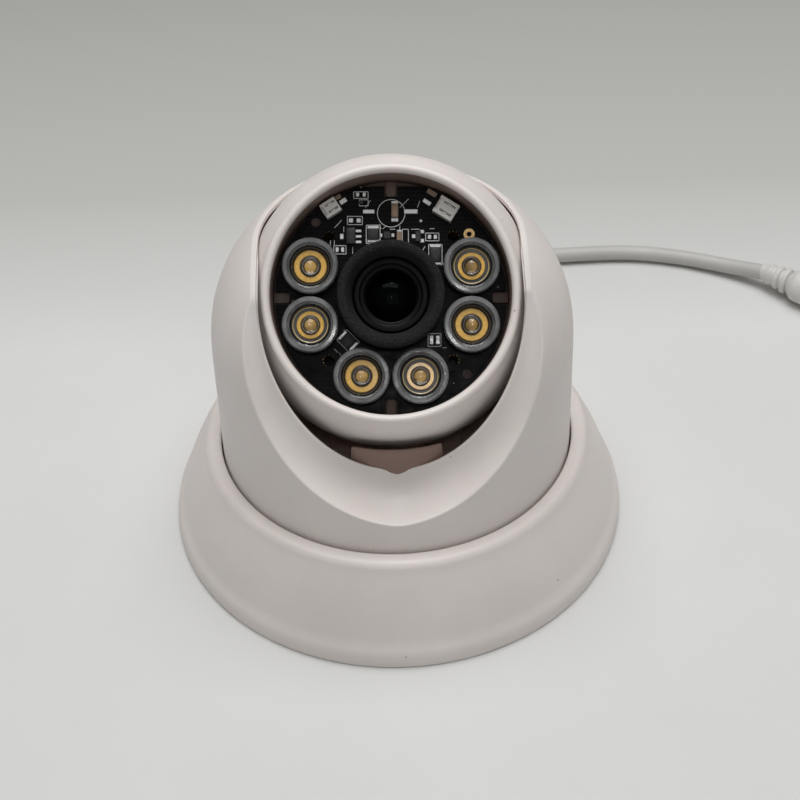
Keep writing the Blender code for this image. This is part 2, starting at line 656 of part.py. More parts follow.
def make_lens(ball):
    """Foam hood, lens barrel with its glasses, and the holder that the barrel screws into."""
    low = BOARD_TOP + GAP
    outline = [(HOOD_BORE, low), (HOOD_R, low), (HOOD_R, HOOD_TOP - 0.5), (HOOD_R - 0.4, HOOD_TOP),
               (HOOD_R - 1.3, HOOD_TOP), (HOOD_BORE, HOOD_TOP - 3.0)]
    hood = lathe("foam_hood", outline, FINE, ball)
    outline = [(3.6, -2), (BARREL_R, -2), (BARREL_R, 5), (HEAD_R, 5), (HEAD_R, HEAD_TOP - 0.3),
               (HEAD_R - 0.3, HEAD_TOP), (5.7, HEAD_TOP), (5.3, HEAD_TOP - 1.2), (4.9, HEAD_TOP - 1.2),
               (4.6, HEAD_TOP - 2), (4.6, 7.6), (3.6, 7.6)]
    barrel = lathe("lens_barrel", outline, ROUND, ball)
    outline = [(0, 7.9), (4.3, 7.9), (4.3, 9.0), (3.2, 9.6), (1.7, 9.95), (0, 10.1)]
    front = lathe("lens_front_glass", outline, ROUND, ball)
    outline = [(0, -1.9), (1.8, -1.7), (3.3, -1.2), (3.3, -0.2), (0, -0.2)]
    rear = lathe("lens_rear_glass", outline, ROUND, ball)

    foot = SENSOR_BOARD_Z + SENSOR_BOARD_T + GAP
    holder = block("lens_holder", (-8, -8, foot), (8, 8, foot + 4.5), ball)
    join(holder, disc("tube", 7.7, foot + 4, BOARD_Z - 0.4, ROUND, parent=ball))
    for side in (-1, 1):
        xs = sorted((side * 7, side * (HOLDER_EARS + 2.4)))
        join(holder, block("ear", (xs[0], -2.5, foot), (xs[1], 2.5, foot + 2.2), ball))
    cut(holder, disc("thread", BARREL_R + 0.2, -2.6, BOARD_Z + 1, ROUND, parent=ball))
    cut(holder, block("chamber", (-6, -6, foot - 1), (6, 6, -2.4), ball))
    for side in (-1, 1):
        cut(holder, disc("ear_hole", 1.1, foot - 1, foot + 3, TINY, (side * HOLDER_EARS, 0), parent=ball))
    return hood, barrel, front, rear, holder


def make_sensor_board(ball):
    """The square sensor board behind the lens, with its chip, lead socket, spacers and screws."""
    half = SENSOR_BOARD_W / 2
    low = SENSOR_BOARD_Z
    top = low + SENSOR_BOARD_T
    board = block("sensor_board", (-half, -half, low), (half, half, top), ball)
    for side in (-1, 1):
        cut(board, disc("hole", 1.1, low - 1, top + 1, TINY, (side * HOLDER_EARS, 0), parent=ball))
    chip = block("image_sensor", (-3.6, -3.0, top + 0.15), (3.6, 3.0, top + 1.1), ball, bevel=0.1)
    socket = block("lead_socket_rear", (-5, -13.5, low - 4.2), (5, -8.5, low - 0.15), ball, bevel=0.3)
    spacers = []
    for i, (x, y) in enumerate(board_holes()):
        end = BOARD_Z - 0.15
        outline = [(1.1, top + 0.15), (SPACER_R, top + 0.15), (SPACER_R, end), (1.1, end)]
        tube = lathe(f"board_spacer_{i + 1}", outline, TINY, ball)
        tube.location = (x * MM, y * MM, 0.0)
        spacers.append(tube)
    screws = []
    for i, side in enumerate((-1, 1)):
        place = (side * HOLDER_EARS, 0)
        head_z = low - SCREW_HEAD_H - 0.15
        screws.append(screw(f"holder_screw_{i + 1}", place, head_z, top + 2.2, ball, radius=0.8, head=1.7))
    return board, chip, socket, spacers, screws


# --- Cord -------------------------------------------------------------------------------------------

def smooth_route(route, spacing):
    """Evenly spaced points on a smooth curve through the route's own points."""
    points = [Vector(place) for place in route]
    points = [points[0] * 2 - points[1]] + points + [points[-1] * 2 - points[-2]]
    dense = []
    for i in range(1, len(points) - 2):
        before, a, b, after = points[i - 1:i + 3]
        for step in range(24):
            t = step / 24
            place = a * 2 + (b - before) * t + (before * 2 - a * 5 + b * 4 - after) * t ** 2
            dense.append((place + (a * 3 - before - b * 3 + after) * t ** 3) / 2)
    dense.append(points[-2])
    lengths = [0.0]
    for a, b in zip(dense, dense[1:]):
        lengths.append(lengths[-1] + (b - a).length)
    count = max(2, round(lengths[-1] / spacing))
    even = []
    j = 0
    for i in range(count + 1):
        target = lengths[-1] * i / count
        while j < len(lengths) - 2 and lengths[j + 1] < target:
            j += 1
        share = (target - lengths[j]) / (lengths[j + 1] - lengths[j])
        even.append(dense[j].lerp(dense[j + 1], share))
    return even


def make_cord(name, route, radius):
    """A round cord along a smooth route."""
    curve = bpy.data.curves.new(name, "CURVE")
    curve.dimensions = "3D"
    curve.bevel_depth = radius * MM
    curve.bevel_resolution = 2
    curve.use_fill_caps = True
    spline = curve.splines.new("POLY")
    places = smooth_route(route, radius * 5)
    spline.points.add(len(places) - 1)
    for point, place in zip(spline.points, places):
        point.co = (*(place * MM), 1.0)
    return add_object(name, curve)


def lay_along(piece, start, heading):
    """Lay a piece turned about Z so that its axis runs level from a start point."""
    piece.rotation_euler = (0, math.pi / 2, math.radians(heading))
    piece.location = Vector(start) * MM


def ribbed(neck, width, start, count, pitch):
    """Outline of a strain relief: round ribs on a thinner neck, then the full body."""
    points = []
    for i in range(count):
        z = start + pitch * i
        rib = neck + (width - neck) * (i + 1) / (count + 1)
        points += [(neck, z), (rib, z + pitch * 0.2), (rib, z + pitch * 0.6), (neck, z + pitch * 0.8)]
    return points


def make_cord_pieces():
    """The splitter, the two tails and the sockets at their ends."""
    relief = ribbed(2.4, SPLIT_R, 0.0, 3, 2.0)
    thick = SPLIT_R + 0.5
    body = [(SPLIT_R, 7.0), (thick, 10.0), (thick, SPLIT_LENGTH - 1.5), (SPLIT_R, SPLIT_LENGTH)]
    splitter = lathe("cord_splitter", [(0, 0)] + relief + body + [(0, SPLIT_LENGTH)], SMALL)
    lay_along(splitter, SPLIT_AT, SPLIT_HEADING)

    outline = [(0, 0)] + ribbed(2.0, 4.0, 0.0, 3, 2.0) + [(4.8, 7.0), (4.8, 15.0), (0, 15.0)]
    boot = lathe("video_boot", outline, SMALL)
    lay_along(boot, VIDEO_AT, VIDEO_HEADING)
    outline = [(0, 15.3), (6.2, 15.3), (6.2, 19.0), (4.8, 19.3), (4.8, 30.0), (4.1, 30.0), (4.1, 20.0),
               (1.1, 20.0), (1.1, 28.0), (0, 28.0)]
    socket = lathe("video_socket", outline, SMALL)
    for side in (-1, 1):
        xs = sorted((side * 4.4, side * 5.8))
        join(socket, disc("lug", 1.0, xs[0], xs[1], TINY, (-26.0, 0), "X"))
    lay_along(socket, VIDEO_AT, VIDEO_HEADING)

    barrel = [(4.7, 8.0), (4.7, 27.0), (3.2, 27.0), (3.2, 16.0), (0, 16.0)]
    jack = lathe("power_socket", [(0, 0)] + ribbed(2.0, 3.6, 0.0, 3, 2.0) + barrel, SMALL)
    lay_along(jack, POWER_AT, POWER_HEADING)
    pin = lathe("power_pin", [(0, 16.3), (1.0, 16.3), (1.0, 25.0), (0.6, 25.6), (0, 25.6)], TINY)
    lay_along(pin, POWER_AT, POWER_HEADING)
    cords = [make_cord("cord_main", CORD_ROUTE, CORD_R), make_cord("cord_video", VIDEO_ROUTE, TAIL_R),
             make_cord("cord_power", POWER_ROUTE, TAIL_R)]
    return cords, [splitter, boot, jack], [socket, pin]


# --- Materials ----------------------------------------------------------------------------------------

def make_material(name, colour, roughness, metallic=0.0, transmission=0.0):
    """A Principled material."""
    material = bpy.data.materials.new(name)
    material.use_nodes = True
    shader = material.node_tree.nodes["Principled BSDF"]
    shader.inputs["Base Color"].default_value = (*colour, 1.0)
    shader.inputs["Roughness"].default_value = roughness
    shader.inputs["Metallic"].default_value = metallic
    shader.inputs["Transmission Weight"].default_value = transmission
    return material


MATERIALS = {
    "warm_white_plastic": ((0.84, 0.80, 0.78), 0.45),
    "inner_plastic": ((0.70, 0.62, 0.57), 0.55),
    "black_board": ((0.010, 0.011, 0.013), 0.30),
    "black_foam": ((0.020, 0.021, 0.023), 0.95),
    "black_barrel": ((0.008, 0.008, 0.009), 0.40),
    "coated_glass": ((0.02, 0.03, 0.03), 0.05),
    "clear_optic": ((0.80, 0.82, 0.84), 0.08, 0.0, 0.9),
    "yellow_phosphor": ((0.85, 0.55, 0.10), 0.50),
    "socket_nylon": ((0.80, 0.79, 0.76), 0.45),
    "chip_black": ((0.03, 0.03, 0.03), 0.50),
    "ceramic_brown": ((0.42, 0.27, 0.16), 0.40),
    "plated_steel": ((0.60, 0.60, 0.60), 0.30, 1.0),
    "brass": ((0.66, 0.50, 0.26), 0.30, 1.0),
    "white_cord": ((0.80, 0.79, 0.78), 0.50),
}


def finish(material_name, *pieces):
    """Give pieces their own material and smooth their round faces."""
    for piece in pieces:
        piece.data.materials.clear()
        piece.data.materials.append(make_material(f"{piece.name}_finish", *MATERIALS[material_name]))
        if piece.type == "MESH":
            piece.data.shade_smooth()
            piece.data.set_sharp_from_angle(angle=math.radians(32))


def main():
    """Build every piece."""
    clear_scene()
    pan = add_axis("pan_axis", 0.0, (0, 0, 0))
    tilt = add_axis("tilt_axis", BALL_Z, (math.radians(90 - LENS_ELEVATION), 0, 0), pan)
    ball = add_axis("roll_axis", 0.0, (0, 0, math.radians(BOARD_ROLL)), tilt)

    finish("warm_white_plastic", make_base_cover(), make_turret_shell(pan))
    base_soft, base_hard, cover_screws = make_base_fittings()
    finish("inner_plastic", make_base_plate(), make_yoke(pan), make_tilt_cup(tilt), *base_hard)
    washer, shell_screws = make_turret_fittings(pan)
    finish("warm_white_plastic", *base_soft, *make_ball_shells(ball))

    finish("black_board", make_led_board(ball))
    left, right, chip, capacitor, resistors = make_board_parts(ball)
    finish("socket_nylon", left, right)
    finish("chip_black", chip, *resistors)
    finish("ceramic_brown", capacitor)
    emitters, lenses = make_leds(ball)
    finish("yellow_phosphor", *emitters)
    finish("clear_optic", *lenses)
    hood, barrel, front_glass, rear_glass, holder = make_lens(ball)
    finish("black_foam", hood)
    finish("black_barrel", barrel, holder)
    finish("coated_glass", front_glass, rear_glass)
    board, sensor, rear_socket, spacers, holder_screws = make_sensor_board(ball)
    finish("black_board", board)
    finish("chip_black", sensor)
    finish("socket_nylon", rear_socket)
    finish("brass", *spacers)
    finish("plated_steel", washer, *cover_screws, *shell_screws, *holder_screws)

    cords, cord_pieces, metal = make_cord_pieces()
    finish("white_cord", *cords, *cord_pieces)
    finish("plated_steel", *metal)


main()
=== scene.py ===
"""The finished look of a dome security camera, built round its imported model.

Sizes in the functions below are in millimetres and are turned into metres as each piece is made.
"""
import math

import bpy
from mathutils import Matrix, Vector


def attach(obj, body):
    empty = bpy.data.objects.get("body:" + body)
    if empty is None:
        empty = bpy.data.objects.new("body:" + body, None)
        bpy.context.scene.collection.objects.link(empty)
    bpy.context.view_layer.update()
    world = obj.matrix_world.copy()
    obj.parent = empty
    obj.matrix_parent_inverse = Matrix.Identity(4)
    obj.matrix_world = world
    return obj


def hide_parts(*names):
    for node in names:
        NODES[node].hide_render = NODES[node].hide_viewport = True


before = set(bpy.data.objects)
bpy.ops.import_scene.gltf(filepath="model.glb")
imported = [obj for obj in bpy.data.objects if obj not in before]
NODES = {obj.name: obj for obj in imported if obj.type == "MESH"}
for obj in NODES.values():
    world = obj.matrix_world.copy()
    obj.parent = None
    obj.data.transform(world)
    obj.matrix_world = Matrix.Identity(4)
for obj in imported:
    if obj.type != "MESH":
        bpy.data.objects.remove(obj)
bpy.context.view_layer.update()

MM = 0.001

# Sizes shared with the model
BALL_R = 26.8
GAP = 0.3
BALL_Z = 50.4
LENS_ELEVATION = 43.6
BOARD_ROLL = -2.0
BALL_FRAME = (Matrix.Translation((0, 0, BALL_Z * MM))
              @ Matrix.Rotation(math.radians(90 - LENS_ELEVATION), 4, "X")
              @ Matrix.Rotation(math.radians(BOARD_ROLL), 4, "Z"))
EYE_R = 21.2
BOARD_TOP = 6.0
LED_CIRCLE_R = 15.2
LED_SPREAD = 20.0
SHELL_R = 34.16
FLANGE_H = 19.8
BASE_R = 45.0


# --- Camera ---------------------------------------------------------------------------------------

CAMERA_AT = (0.33, -217.76, 220.96)
LOOK_DOWN = 41.85
LOOK_ASIDE = -0.17
CAMERA_ROLL = -2.01


def place_camera():
    """A 67.5 mm lens about 0.28 m from the ball, looking down at the eye."""
    data = bpy.data.cameras.new("camera")
    data.lens = 67.5
    data.sensor_width = 36.0
    data.clip_start = 0.01
    data.clip_end = 10.0
    camera = bpy.data.objects.new("camera", data)
    bpy.context.scene.collection.objects.link(camera)
    camera.location = Vector(CAMERA_AT) * MM
    down = Matrix.Rotation(math.radians(90 - LOOK_DOWN), 4, "X")
    yaw = Matrix.Rotation(math.radians(LOOK_ASIDE), 4, "Z")
    roll = Matrix.Rotation(math.radians(CAMERA_ROLL), 4, "Z")
    camera.rotation_euler = (yaw @ down @ roll).to_euler()
    bpy.context.scene.camera = camera


# --- Modelling helpers ----------------------------------------------------------------------------

def deselect():
    """Leave edit mode with nothing selected."""
    if bpy.context.mode != "OBJECT":
        bpy.ops.object.mode_set(mode="OBJECT")
    bpy.ops.object.select_all(action="DESELECT")


def pick(piece):
    """Select this piece alone."""
    deselect()
    bpy.context.view_layer.objects.active = piece
    piece.select_set(True)


def named(name):
    """Name the primitive just added and fix its place in its mesh."""
    piece = bpy.context.object
    piece.name = name
    piece.data.name = name
    bpy.ops.object.transform_apply(location=True, rotation=True, scale=True)
    return piece


def edit(piece):
    """Open one piece for editing with all of it selected."""
    pick(piece)
    bpy.ops.object.mode_set(mode="EDIT")
    bpy.ops.mesh.select_mode(type="VERT")
    bpy.ops.mesh.select_all(action="SELECT")


def close_edit(weld=2e-6):
    """Weld the seams, point the faces outwards and leave edit mode."""
    bpy.ops.mesh.select_all(action="SELECT")
    bpy.ops.mesh.remove_doubles(threshold=weld)
    bpy.ops.mesh.normals_make_consistent(inside=False)
    bpy.ops.object.mode_set(mode="OBJECT")


def apply(piece, kind, **values):
    """Add one modifier, set it and apply it."""
    pick(piece)
    bpy.ops.object.modifier_add(type=kind)
    modifier = piece.modifiers[-1]
    for key, value in values.items():
        setattr(modifier, key, value)
    bpy.ops.object.modifier_apply(modifier=modifier.name)


def soften(piece, width, segments=2, angle=35.0):
    """Round the sharp edges of a piece."""
    apply(piece, "BEVEL", width=width * MM, segments=segments, limit_method="ANGLE",
          angle_limit=math.radians(angle))


def carve(piece, tool, operation="DIFFERENCE"):
    """Cut a piece with a tool, or weld the tool on, and drop the tool."""
    apply(piece, "BOOLEAN", operation=operation, object=tool, solver="EXACT")
    bpy.data.objects.remove(tool, do_unlink=True)


def smooth(piece, angle=35.0):
    """Smooth shading, with edges above the angle left crisp."""
    pick(piece)
    bpy.ops.object.shade_smooth_by_angle(angle=math.radians(angle))


def arc(centre, radii, start, end, count):
    """Points of an elliptic arc, ends included, in degrees from the radial direction."""
    points = []
    for i in range(count + 1):
        angle = math.radians(start + (end - start) * i / count)
        points.append((centre[0] + radii[0] * math.cos(angle), centre[1] + radii[1] * math.sin(angle)))
    return points


def sphere_arc(radius, low, high, count):
    """Points on a sphere's outline between two heights."""
    first = math.degrees(math.asin(low / radius))
    last = math.degrees(math.asin(high / radius))
    return arc((0, 0), (radius, radius), first, last, count)


def turned(name, profile, steps=96, closed=True):
    """Draw a chain of (radius, height) points by extruding one vertex, and spin it about Z."""
    deselect()
    first = profile[0]
    bpy.ops.mesh.primitive_plane_add(size=0.001, location=(first[0] * MM, 0, first[1] * MM))
    piece = named(name)
    edit(piece)
    bpy.ops.mesh.merge(type="CENTER")
    outline = list(profile[1:]) + ([first] if closed else [])
    before = first
    for point in outline:
        step = ((point[0] - before[0]) * MM, 0, (point[1] - before[1]) * MM)
        bpy.ops.mesh.extrude_region_move(TRANSFORM_OT_translate={"value": step})
        before = point
    bpy.ops.mesh.select_all(action="SELECT")
    bpy.ops.mesh.remove_doubles(threshold=1e-7)
    bpy.ops.mesh.select_all(action="SELECT")
    bpy.ops.mesh.spin(steps=steps, angle=2 * math.pi, center=(0, 0, 0), axis=(0, 0, 1))
    close_edit()
    return piece


def formed(name, columns, rows, place, ring=True):
    """Add a grid and lay it along a surface: place(u, v) gives each point, in mm. A ring's seam is welded."""
    deselect()
    bpy.ops.mesh.primitive_grid_add(x_subdivisions=columns, y_subdivisions=rows, size=2.0)
    piece = named(name)
    for vertex in piece.data.vertices:
        u = round((vertex.co.x + 1) / 2 * columns) / columns
        v = round((vertex.co.y + 1) / 2 * rows) / rows
        vertex.co = Vector(place(u % 1.0 if ring else u, v)) * MM
    edit(piece)
    close_edit()
    return piece


def pin(name, radius, low, high, at=(0, 0), steps=24, edge=0.0):
    """A round bar along Z: a circle, filled and extruded, with a softened rim."""
    deselect()
    bpy.ops.mesh.primitive_circle_add(vertices=steps, radius=radius * MM, fill_type="NGON",
                                      location=(at[0] * MM, at[1] * MM, low * MM))
    piece = named(name)
    edit(piece)
    bpy.ops.mesh.extrude_region_move(TRANSFORM_OT_translate={"value": (0, 0, (high - low) * MM)})
    close_edit()
    if edge:
        soften(piece, edge)
    return piece


def slab(name, middle, size, turn=0.0, edge=0.0, steps=2):
    """A rectangular block: a plane, extruded up, turned about Z and softened. middle is the foot's."""
    deselect()
    bpy.ops.mesh.primitive_plane_add(size=MM, location=Vector(middle) * MM,
                                     rotation=(0, 0, math.radians(turn)))
    piece = bpy.context.object
    piece.scale = (size[0], size[1], 1)
    named(name)
    edit(piece)
    bpy.ops.mesh.extrude_region_move(TRANSFORM_OT_translate={"value": (0, 0, size[2] * MM)})
    close_edit()
    if edge:
        soften(piece, edge, steps)
    return piece


def joined(name, pieces):
    """Join loose shapes into one piece."""
    deselect()
    for piece in pieces:
        piece.select_set(True)
    bpy.context.view_layer.objects.active = pieces[0]
    if len(pieces) > 1:
        bpy.ops.object.join()
    piece = bpy.context.object
    piece.name = name
    piece.data.name = name
    return piece


def copied(name, piece, move):
    """A copy with its own mesh, moved in mm."""
    copy = piece.copy()
    copy.data = piece.data.copy()
    copy.name = name
    copy.data.name = name
    bpy.context.scene.collection.objects.link(copy)
    copy.data.transform(Matrix.Translation(Vector(move) * MM))
    return copy


def settle(piece, body, material, stands_for=(), frame_of=None, angle=35.0):
    """Put a finished piece in place, give it its finish and let it ride on its body."""
    if frame_of is not None:
        piece.data.transform(frame_of)
    if piece.type == "MESH":
        smooth(piece, angle)
    piece.data.materials.clear()
    piece.data.materials.append(material)
    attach(piece, body)
    if stands_for:
        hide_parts(*stands_for)
    return piece


# --- Finishes -------------------------------------------------------------------------------------

class Finish:
    """A material under construction: its nodes and links, on Object coordinates."""

    def __init__(self, name, frame_of=None):
        self.material = bpy.data.materials.new(name)
        self.material.use_nodes = True
        self.tree = self.material.node_tree
        self.shader = self.tree.nodes["Principled BSDF"]
        coordinates = self.tree.nodes.new("ShaderNodeTexCoord")
        self.place = coordinates.outputs["Object"]
        if frame_of is not None:
            turn = self.tree.nodes.new("ShaderNodeMapping")
            turn.vector_type = "TEXTURE"
            turn.inputs["Location"].default_value = frame_of.to_translation()
            turn.inputs["Rotation"].default_value = frame_of.to_euler()
            self.link(self.place, turn.inputs["Vector"])
            self.place = turn.outputs["Vector"]

    def link(self, output, socket):
        self.tree.links.new(output, socket)

    def node(self, kind, **inputs):
        made = self.tree.nodes.new(kind)
        for key, value in inputs.items():
            socket = made.inputs[key.replace("_", " ")]
            if isinstance(value, bpy.types.NodeSocket):
                self.link(value, socket)
            else:
                socket.default_value = value
        return made

    def noise(self, scale, detail=3.0, roughness=0.5):
        made = self.node("ShaderNodeTexNoise", Scale=scale, Detail=detail, Roughness=roughness)
        self.link(self.place, made.inputs["Vector"])
        return made.outputs["Fac"]

    def cells(self, scale):
        made = self.node("ShaderNodeTexVoronoi", Scale=scale)
        self.link(self.place, made.inputs["Vector"])
        return made.outputs["Distance"]

    def ranged(self, value, low, high, to_low=0.0, to_high=1.0):
        made = self.tree.nodes.new("ShaderNodeMapRange")
        self.link(value, made.inputs["Value"])
        for key, number in (("From Min", low), ("From Max", high), ("To Min", to_low), ("To Max", to_high)):
            made.inputs[key].default_value = number
        return made.outputs["Result"]

    def scaled(self, colour, amount):
        made = self.tree.nodes.new("ShaderNodeVectorMath")
        made.operation = "SCALE"
        self.link(colour, made.inputs[0])
        self.link(amount, made.inputs["Scale"])
        return made.outputs["Vector"]

    def mixed(self, share, first, second):
        made = self.tree.nodes.new("ShaderNodeMix")
        made.data_type = "RGBA"
        self.link(share, made.inputs["Factor"])
        sockets = [s for s in made.inputs if s.type == "RGBA"]
        for socket, value in zip(sockets, (first, second)):
            if isinstance(value, bpy.types.NodeSocket):
                self.link(value, socket)
            else:
                socket.default_value = (*value, 1.0)
        return [s for s in made.outputs if s.type == "RGBA"][0]

    def colour(self, value):
        if isinstance(value, bpy.types.NodeSocket):
            self.link(value, self.shader.inputs["Base Color"])
        else:
            self.shader.inputs["Base Color"].default_value = (*value, 1.0)

    def relief(self, height, depth, strength):
        """Bump from a height, depth in mm."""
        made = self.node("ShaderNodeBump", Strength=strength, Distance=depth * MM, Height=height)
        self.link(made.outputs["Normal"], self.shader.inputs["Normal"])

    def set(self, **values):
        for key, value in values.items():
            self.shader.inputs[key.replace("_", " ")].default_value = value


CLOUD_SCALE = 45.0
GRAIN_SCALE = 3200.0
TURNING_SCALE = 1800.0
TARNISH_TINT = 0.8


def moulded(name, colour, roughness, tint=0.93, depth=0.012, specks=True, frame_of=None, **sockets):
    """Moulded plastic: faint clouding, a fine matte grain and a few tiny dark specks."""
    finish = Finish(name, frame_of)
    clouds = finish.ranged(finish.noise(CLOUD_SCALE, 4.0, 0.6), 0.35, 0.68)
    shade = finish.mixed(clouds, [c * tint for c in colour], colour)
    if specks:
        spots = finish.ranged(finish.noise(900.0, 1.0), 0.805, 0.83)
        shade = finish.mixed(spots, shade, (0.30, 0.20, 0.14))
    finish.colour(shade)
    gloss = finish.ranged(finish.noise(CLOUD_SCALE * 4, 3.0), 0.3, 0.7, roughness - 0.06, roughness + 0.07)
    finish.link(gloss, finish.shader.inputs["Roughness"])
    finish.relief(finish.noise(GRAIN_SCALE, 2.0, 0.6), depth, 0.6)
    finish.set(**sockets)
    return finish.material


def ball_moulded(name, colour, roughness, **values):
    """Plastic without specks, for a piece that rides on the ball."""
    return moulded(name, colour, roughness, specks=False, frame_of=BALL_FRAME, **values)


def metal(name, colour, roughness, frame_of=None, metallic=1.0):
    """Plated or bare metal with faint tarnish and fine turning marks."""
    finish = Finish(name, frame_of)
    tarnish = finish.ranged(finish.noise(260.0, 4.0, 0.6), 0.35, 0.7)
    finish.colour(finish.mixed(tarnish, colour, [c * TARNISH_TINT for c in colour]))
    turning = finish.noise(TURNING_SCALE, 2.0)
    finish.link(finish.ranged(turning, 0.3, 0.7, roughness - 0.08, roughness + 0.12),
                finish.shader.inputs["Roughness"])
    finish.relief(turning, 0.006, 0.5)
    finish.set(Metallic=metallic)
    return finish.material


def solder_mask():
    """Black board lacquer over copper tracks, with small bare vias and dust."""
    finish = Finish("black_solder_mask", BALL_FRAME)
    brick = finish.node("ShaderNodeTexBrick", Scale=420.0, Mortar_Size=0.09, Mortar_Smooth=0.3,
                        Brick_Width=0.9, Row_Height=0.34)
    finish.link(finish.place, brick.inputs["Vector"])
    tracks = brick.outputs["Fac"]
    shade = finish.mixed(tracks, (0.0030, 0.0032, 0.0038), (0.0065, 0.0068, 0.0075))
    dust = finish.ranged(finish.noise(2600.0, 2.0, 0.7), 0.69, 0.76)
    shade = finish.mixed(dust, shade, (0.07, 0.07, 0.07))
    via = finish.ranged(finish.cells(300.0), 0.055, 0.075)
    shade = finish.mixed(via, (0.30, 0.26, 0.20), shade)
    finish.colour(shade)
    gloss = finish.ranged(finish.noise(500.0, 3.0), 0.3, 0.7, 0.16, 0.34)
    finish.link(gloss, finish.shader.inputs["Roughness"])
    finish.relief(tracks, 0.008, 0.5)
    finish.set(Specular_IOR_Level=0.05)
    return finish.material


def open_foam():
    """Black open-cell foam with pale grains."""
    finish = Finish("black_open_foam", BALL_FRAME)
    cells = finish.cells(5200.0)
    coarse = finish.noise(4200.0, 3.0, 0.7)
    shade = finish.mixed(finish.ranged(cells, 0.25, 0.75), (0.003, 0.003, 0.0035), (0.020, 0.0205, 0.022))
    grains = finish.ranged(coarse, 0.60, 0.74)
    finish.colour(finish.mixed(grains, shade, (0.085, 0.087, 0.092)))
    finish.relief(cells, 0.05, 0.8)
    finish.set(Roughness=0.95, Specular_IOR_Level=0.25)
    return finish.material


def phosphor(name, colour, deep):
    """Silicone filled with yellow phosphor."""
    finish = Finish(name, BALL_FRAME)
    finish.colour(finish.mixed(finish.ranged(finish.noise(2200.0, 3.0), 0.35, 0.68), deep, colour))
    gloss = finish.ranged(finish.noise(900.0, 2.0), 0.3, 0.7, 0.34, 0.5)
    finish.link(gloss, finish.shader.inputs["Roughness"])
    finish.relief(finish.noise(3000.0, 2.0), 0.01, 0.5)
    finish.set(Coat_Weight=0.4, Coat_Roughness=0.1)
    return finish.material


def clear_moulding(name, shaded_tone, lit_tone, roughness, clarity):
    """Clear acrylic with painted light: darker low down and paler towards its top, where the light falls, and
    clouded in soft patches.
    """
    finish = Finish(name, BALL_FRAME)
    split = finish.node("ShaderNodeSeparateXYZ", Vector=finish.place)
    # painted light: the colour runs from a shaded tone low down to a lit tone at the top
    height = finish.ranged(split.outputs["Z"], 0.0095, 0.0119)
    patches = finish.ranged(finish.noise(330.0, 1.0, 0.4), 0.38, 0.64, 0.62, 1.1)
    finish.colour(finish.scaled(finish.mixed(height, shaded_tone, lit_tone), patches))
    finish.set(Transmission_Weight=clarity, IOR=1.49, Roughness=roughness)
    return finish.material


def coated_glass(name, tone):
    """Dark coated optical glass with a trace of dust."""
    finish = Finish(name, BALL_FRAME)
    dust = finish.ranged(finish.noise(3000.0, 2.0, 0.6), 0.74, 0.80)
    finish.colour(finish.mixed(dust, tone, (0.05, 0.06, 0.06)))
    gloss = finish.ranged(finish.noise(600.0, 2.0), 0.4, 0.7, 0.03, 0.07)
    finish.link(gloss, finish.shader.inputs["Roughness"])
    finish.set(Specular_IOR_Level=0.035, Specular_Tint=(0.75, 0.9, 0.85, 1.0))
    return finish.material


def jacket(name, colour):
    """Soft white cord jacket with a faint uneven surface."""
    finish = Finish(name)
    clouds = finish.ranged(finish.noise(90.0, 4.0, 0.6), 0.35, 0.7)
    finish.colour(finish.mixed(clouds, [c * 0.92 for c in colour], colour))
    gloss = finish.ranged(finish.noise(300.0, 3.0), 0.3, 0.7, 0.42, 0.56)
    finish.link(gloss, finish.shader.inputs["Roughness"])
    finish.relief(finish.noise(1600.0, 3.0), 0.02, 0.5)
    return finish.material


COVER_TONE = (0.800, 0.742, 0.708)
WARM_RADIUS = (1.0, 0.45, 0.3)
THICK_WALL = {"Subsurface_Weight": 0.12, "Subsurface_Scale": 0.0015, "Subsurface_Radius": WARM_RADIUS}
COVER = moulded("warm_white_cover", COVER_TONE, 0.42, **THICK_WALL)
BALL_COVER = moulded("warm_white_ball", COVER_TONE, 0.40, frame_of=BALL_FRAME, **THICK_WALL)
# painted shade: the inner mouldings are tinted warm pinkish brown, standing for the brown cast of the plastic
# in shade
SHADE_TINTED_INNER = moulded("inner_moulding_painted_shade_tint", (0.84, 0.64, 0.56), 0.5, specks=False, Subsurface_Weight=0.2,
                Subsurface_Scale=0.003, Subsurface_Radius=WARM_RADIUS)
# painted shade: the tongue is the warm white plastic painted dark brown for the shade under the ball
PAINTED_SHADE_GUARD = moulded("guard_painted_shade", (0.25, 0.165, 0.135), 0.55, specks=False)
# painted shade: the eye's inner wall is the same white plastic, painted brown for the shade inside the eye
SHADED_EYE_WALL = ball_moulded("eye_inner_wall_painted_shade", (0.30, 0.215, 0.175), 0.5)
# painted shade: the board ledge and the eye ribs are painted darker brown for the deeper shade behind the
# board
SHADED_LEDGE = ball_moulded("eye_ledge_painted_shade", (0.16, 0.105, 0.085), 0.5)
MASK = solder_mask()
FOAM = open_foam()
NYLON = ball_moulded("socket_nylon", (0.93, 0.91, 0.87), 0.42, depth=0.006)
CHIP = ball_moulded("chip_epoxy", (0.022, 0.022, 0.024), 0.42, tint=0.7)
CERAMIC = ball_moulded("brown_ceramic", (0.34, 0.23, 0.15), 0.35, tint=0.8)
BARREL = ball_moulded("black_barrel", (0.0025, 0.0025, 0.003), 0.42, tint=0.7, depth=0.004,
                      Specular_IOR_Level=0.16)
LEGEND = ball_moulded("white_legend_ink", (0.90, 0.90, 0.88), 0.55, tint=0.8, depth=0.004)
SOLDER = metal("tinned_solder", (0.86, 0.86, 0.86), 0.3, frame_of=BALL_FRAME, metallic=0.35)
GOLD = metal("gold_pad", (0.70, 0.48, 0.22), 0.35, frame_of=BALL_FRAME)
BRASS = metal("turned_brass", (0.70, 0.53, 0.28), 0.28, frame_of=BALL_FRAME)
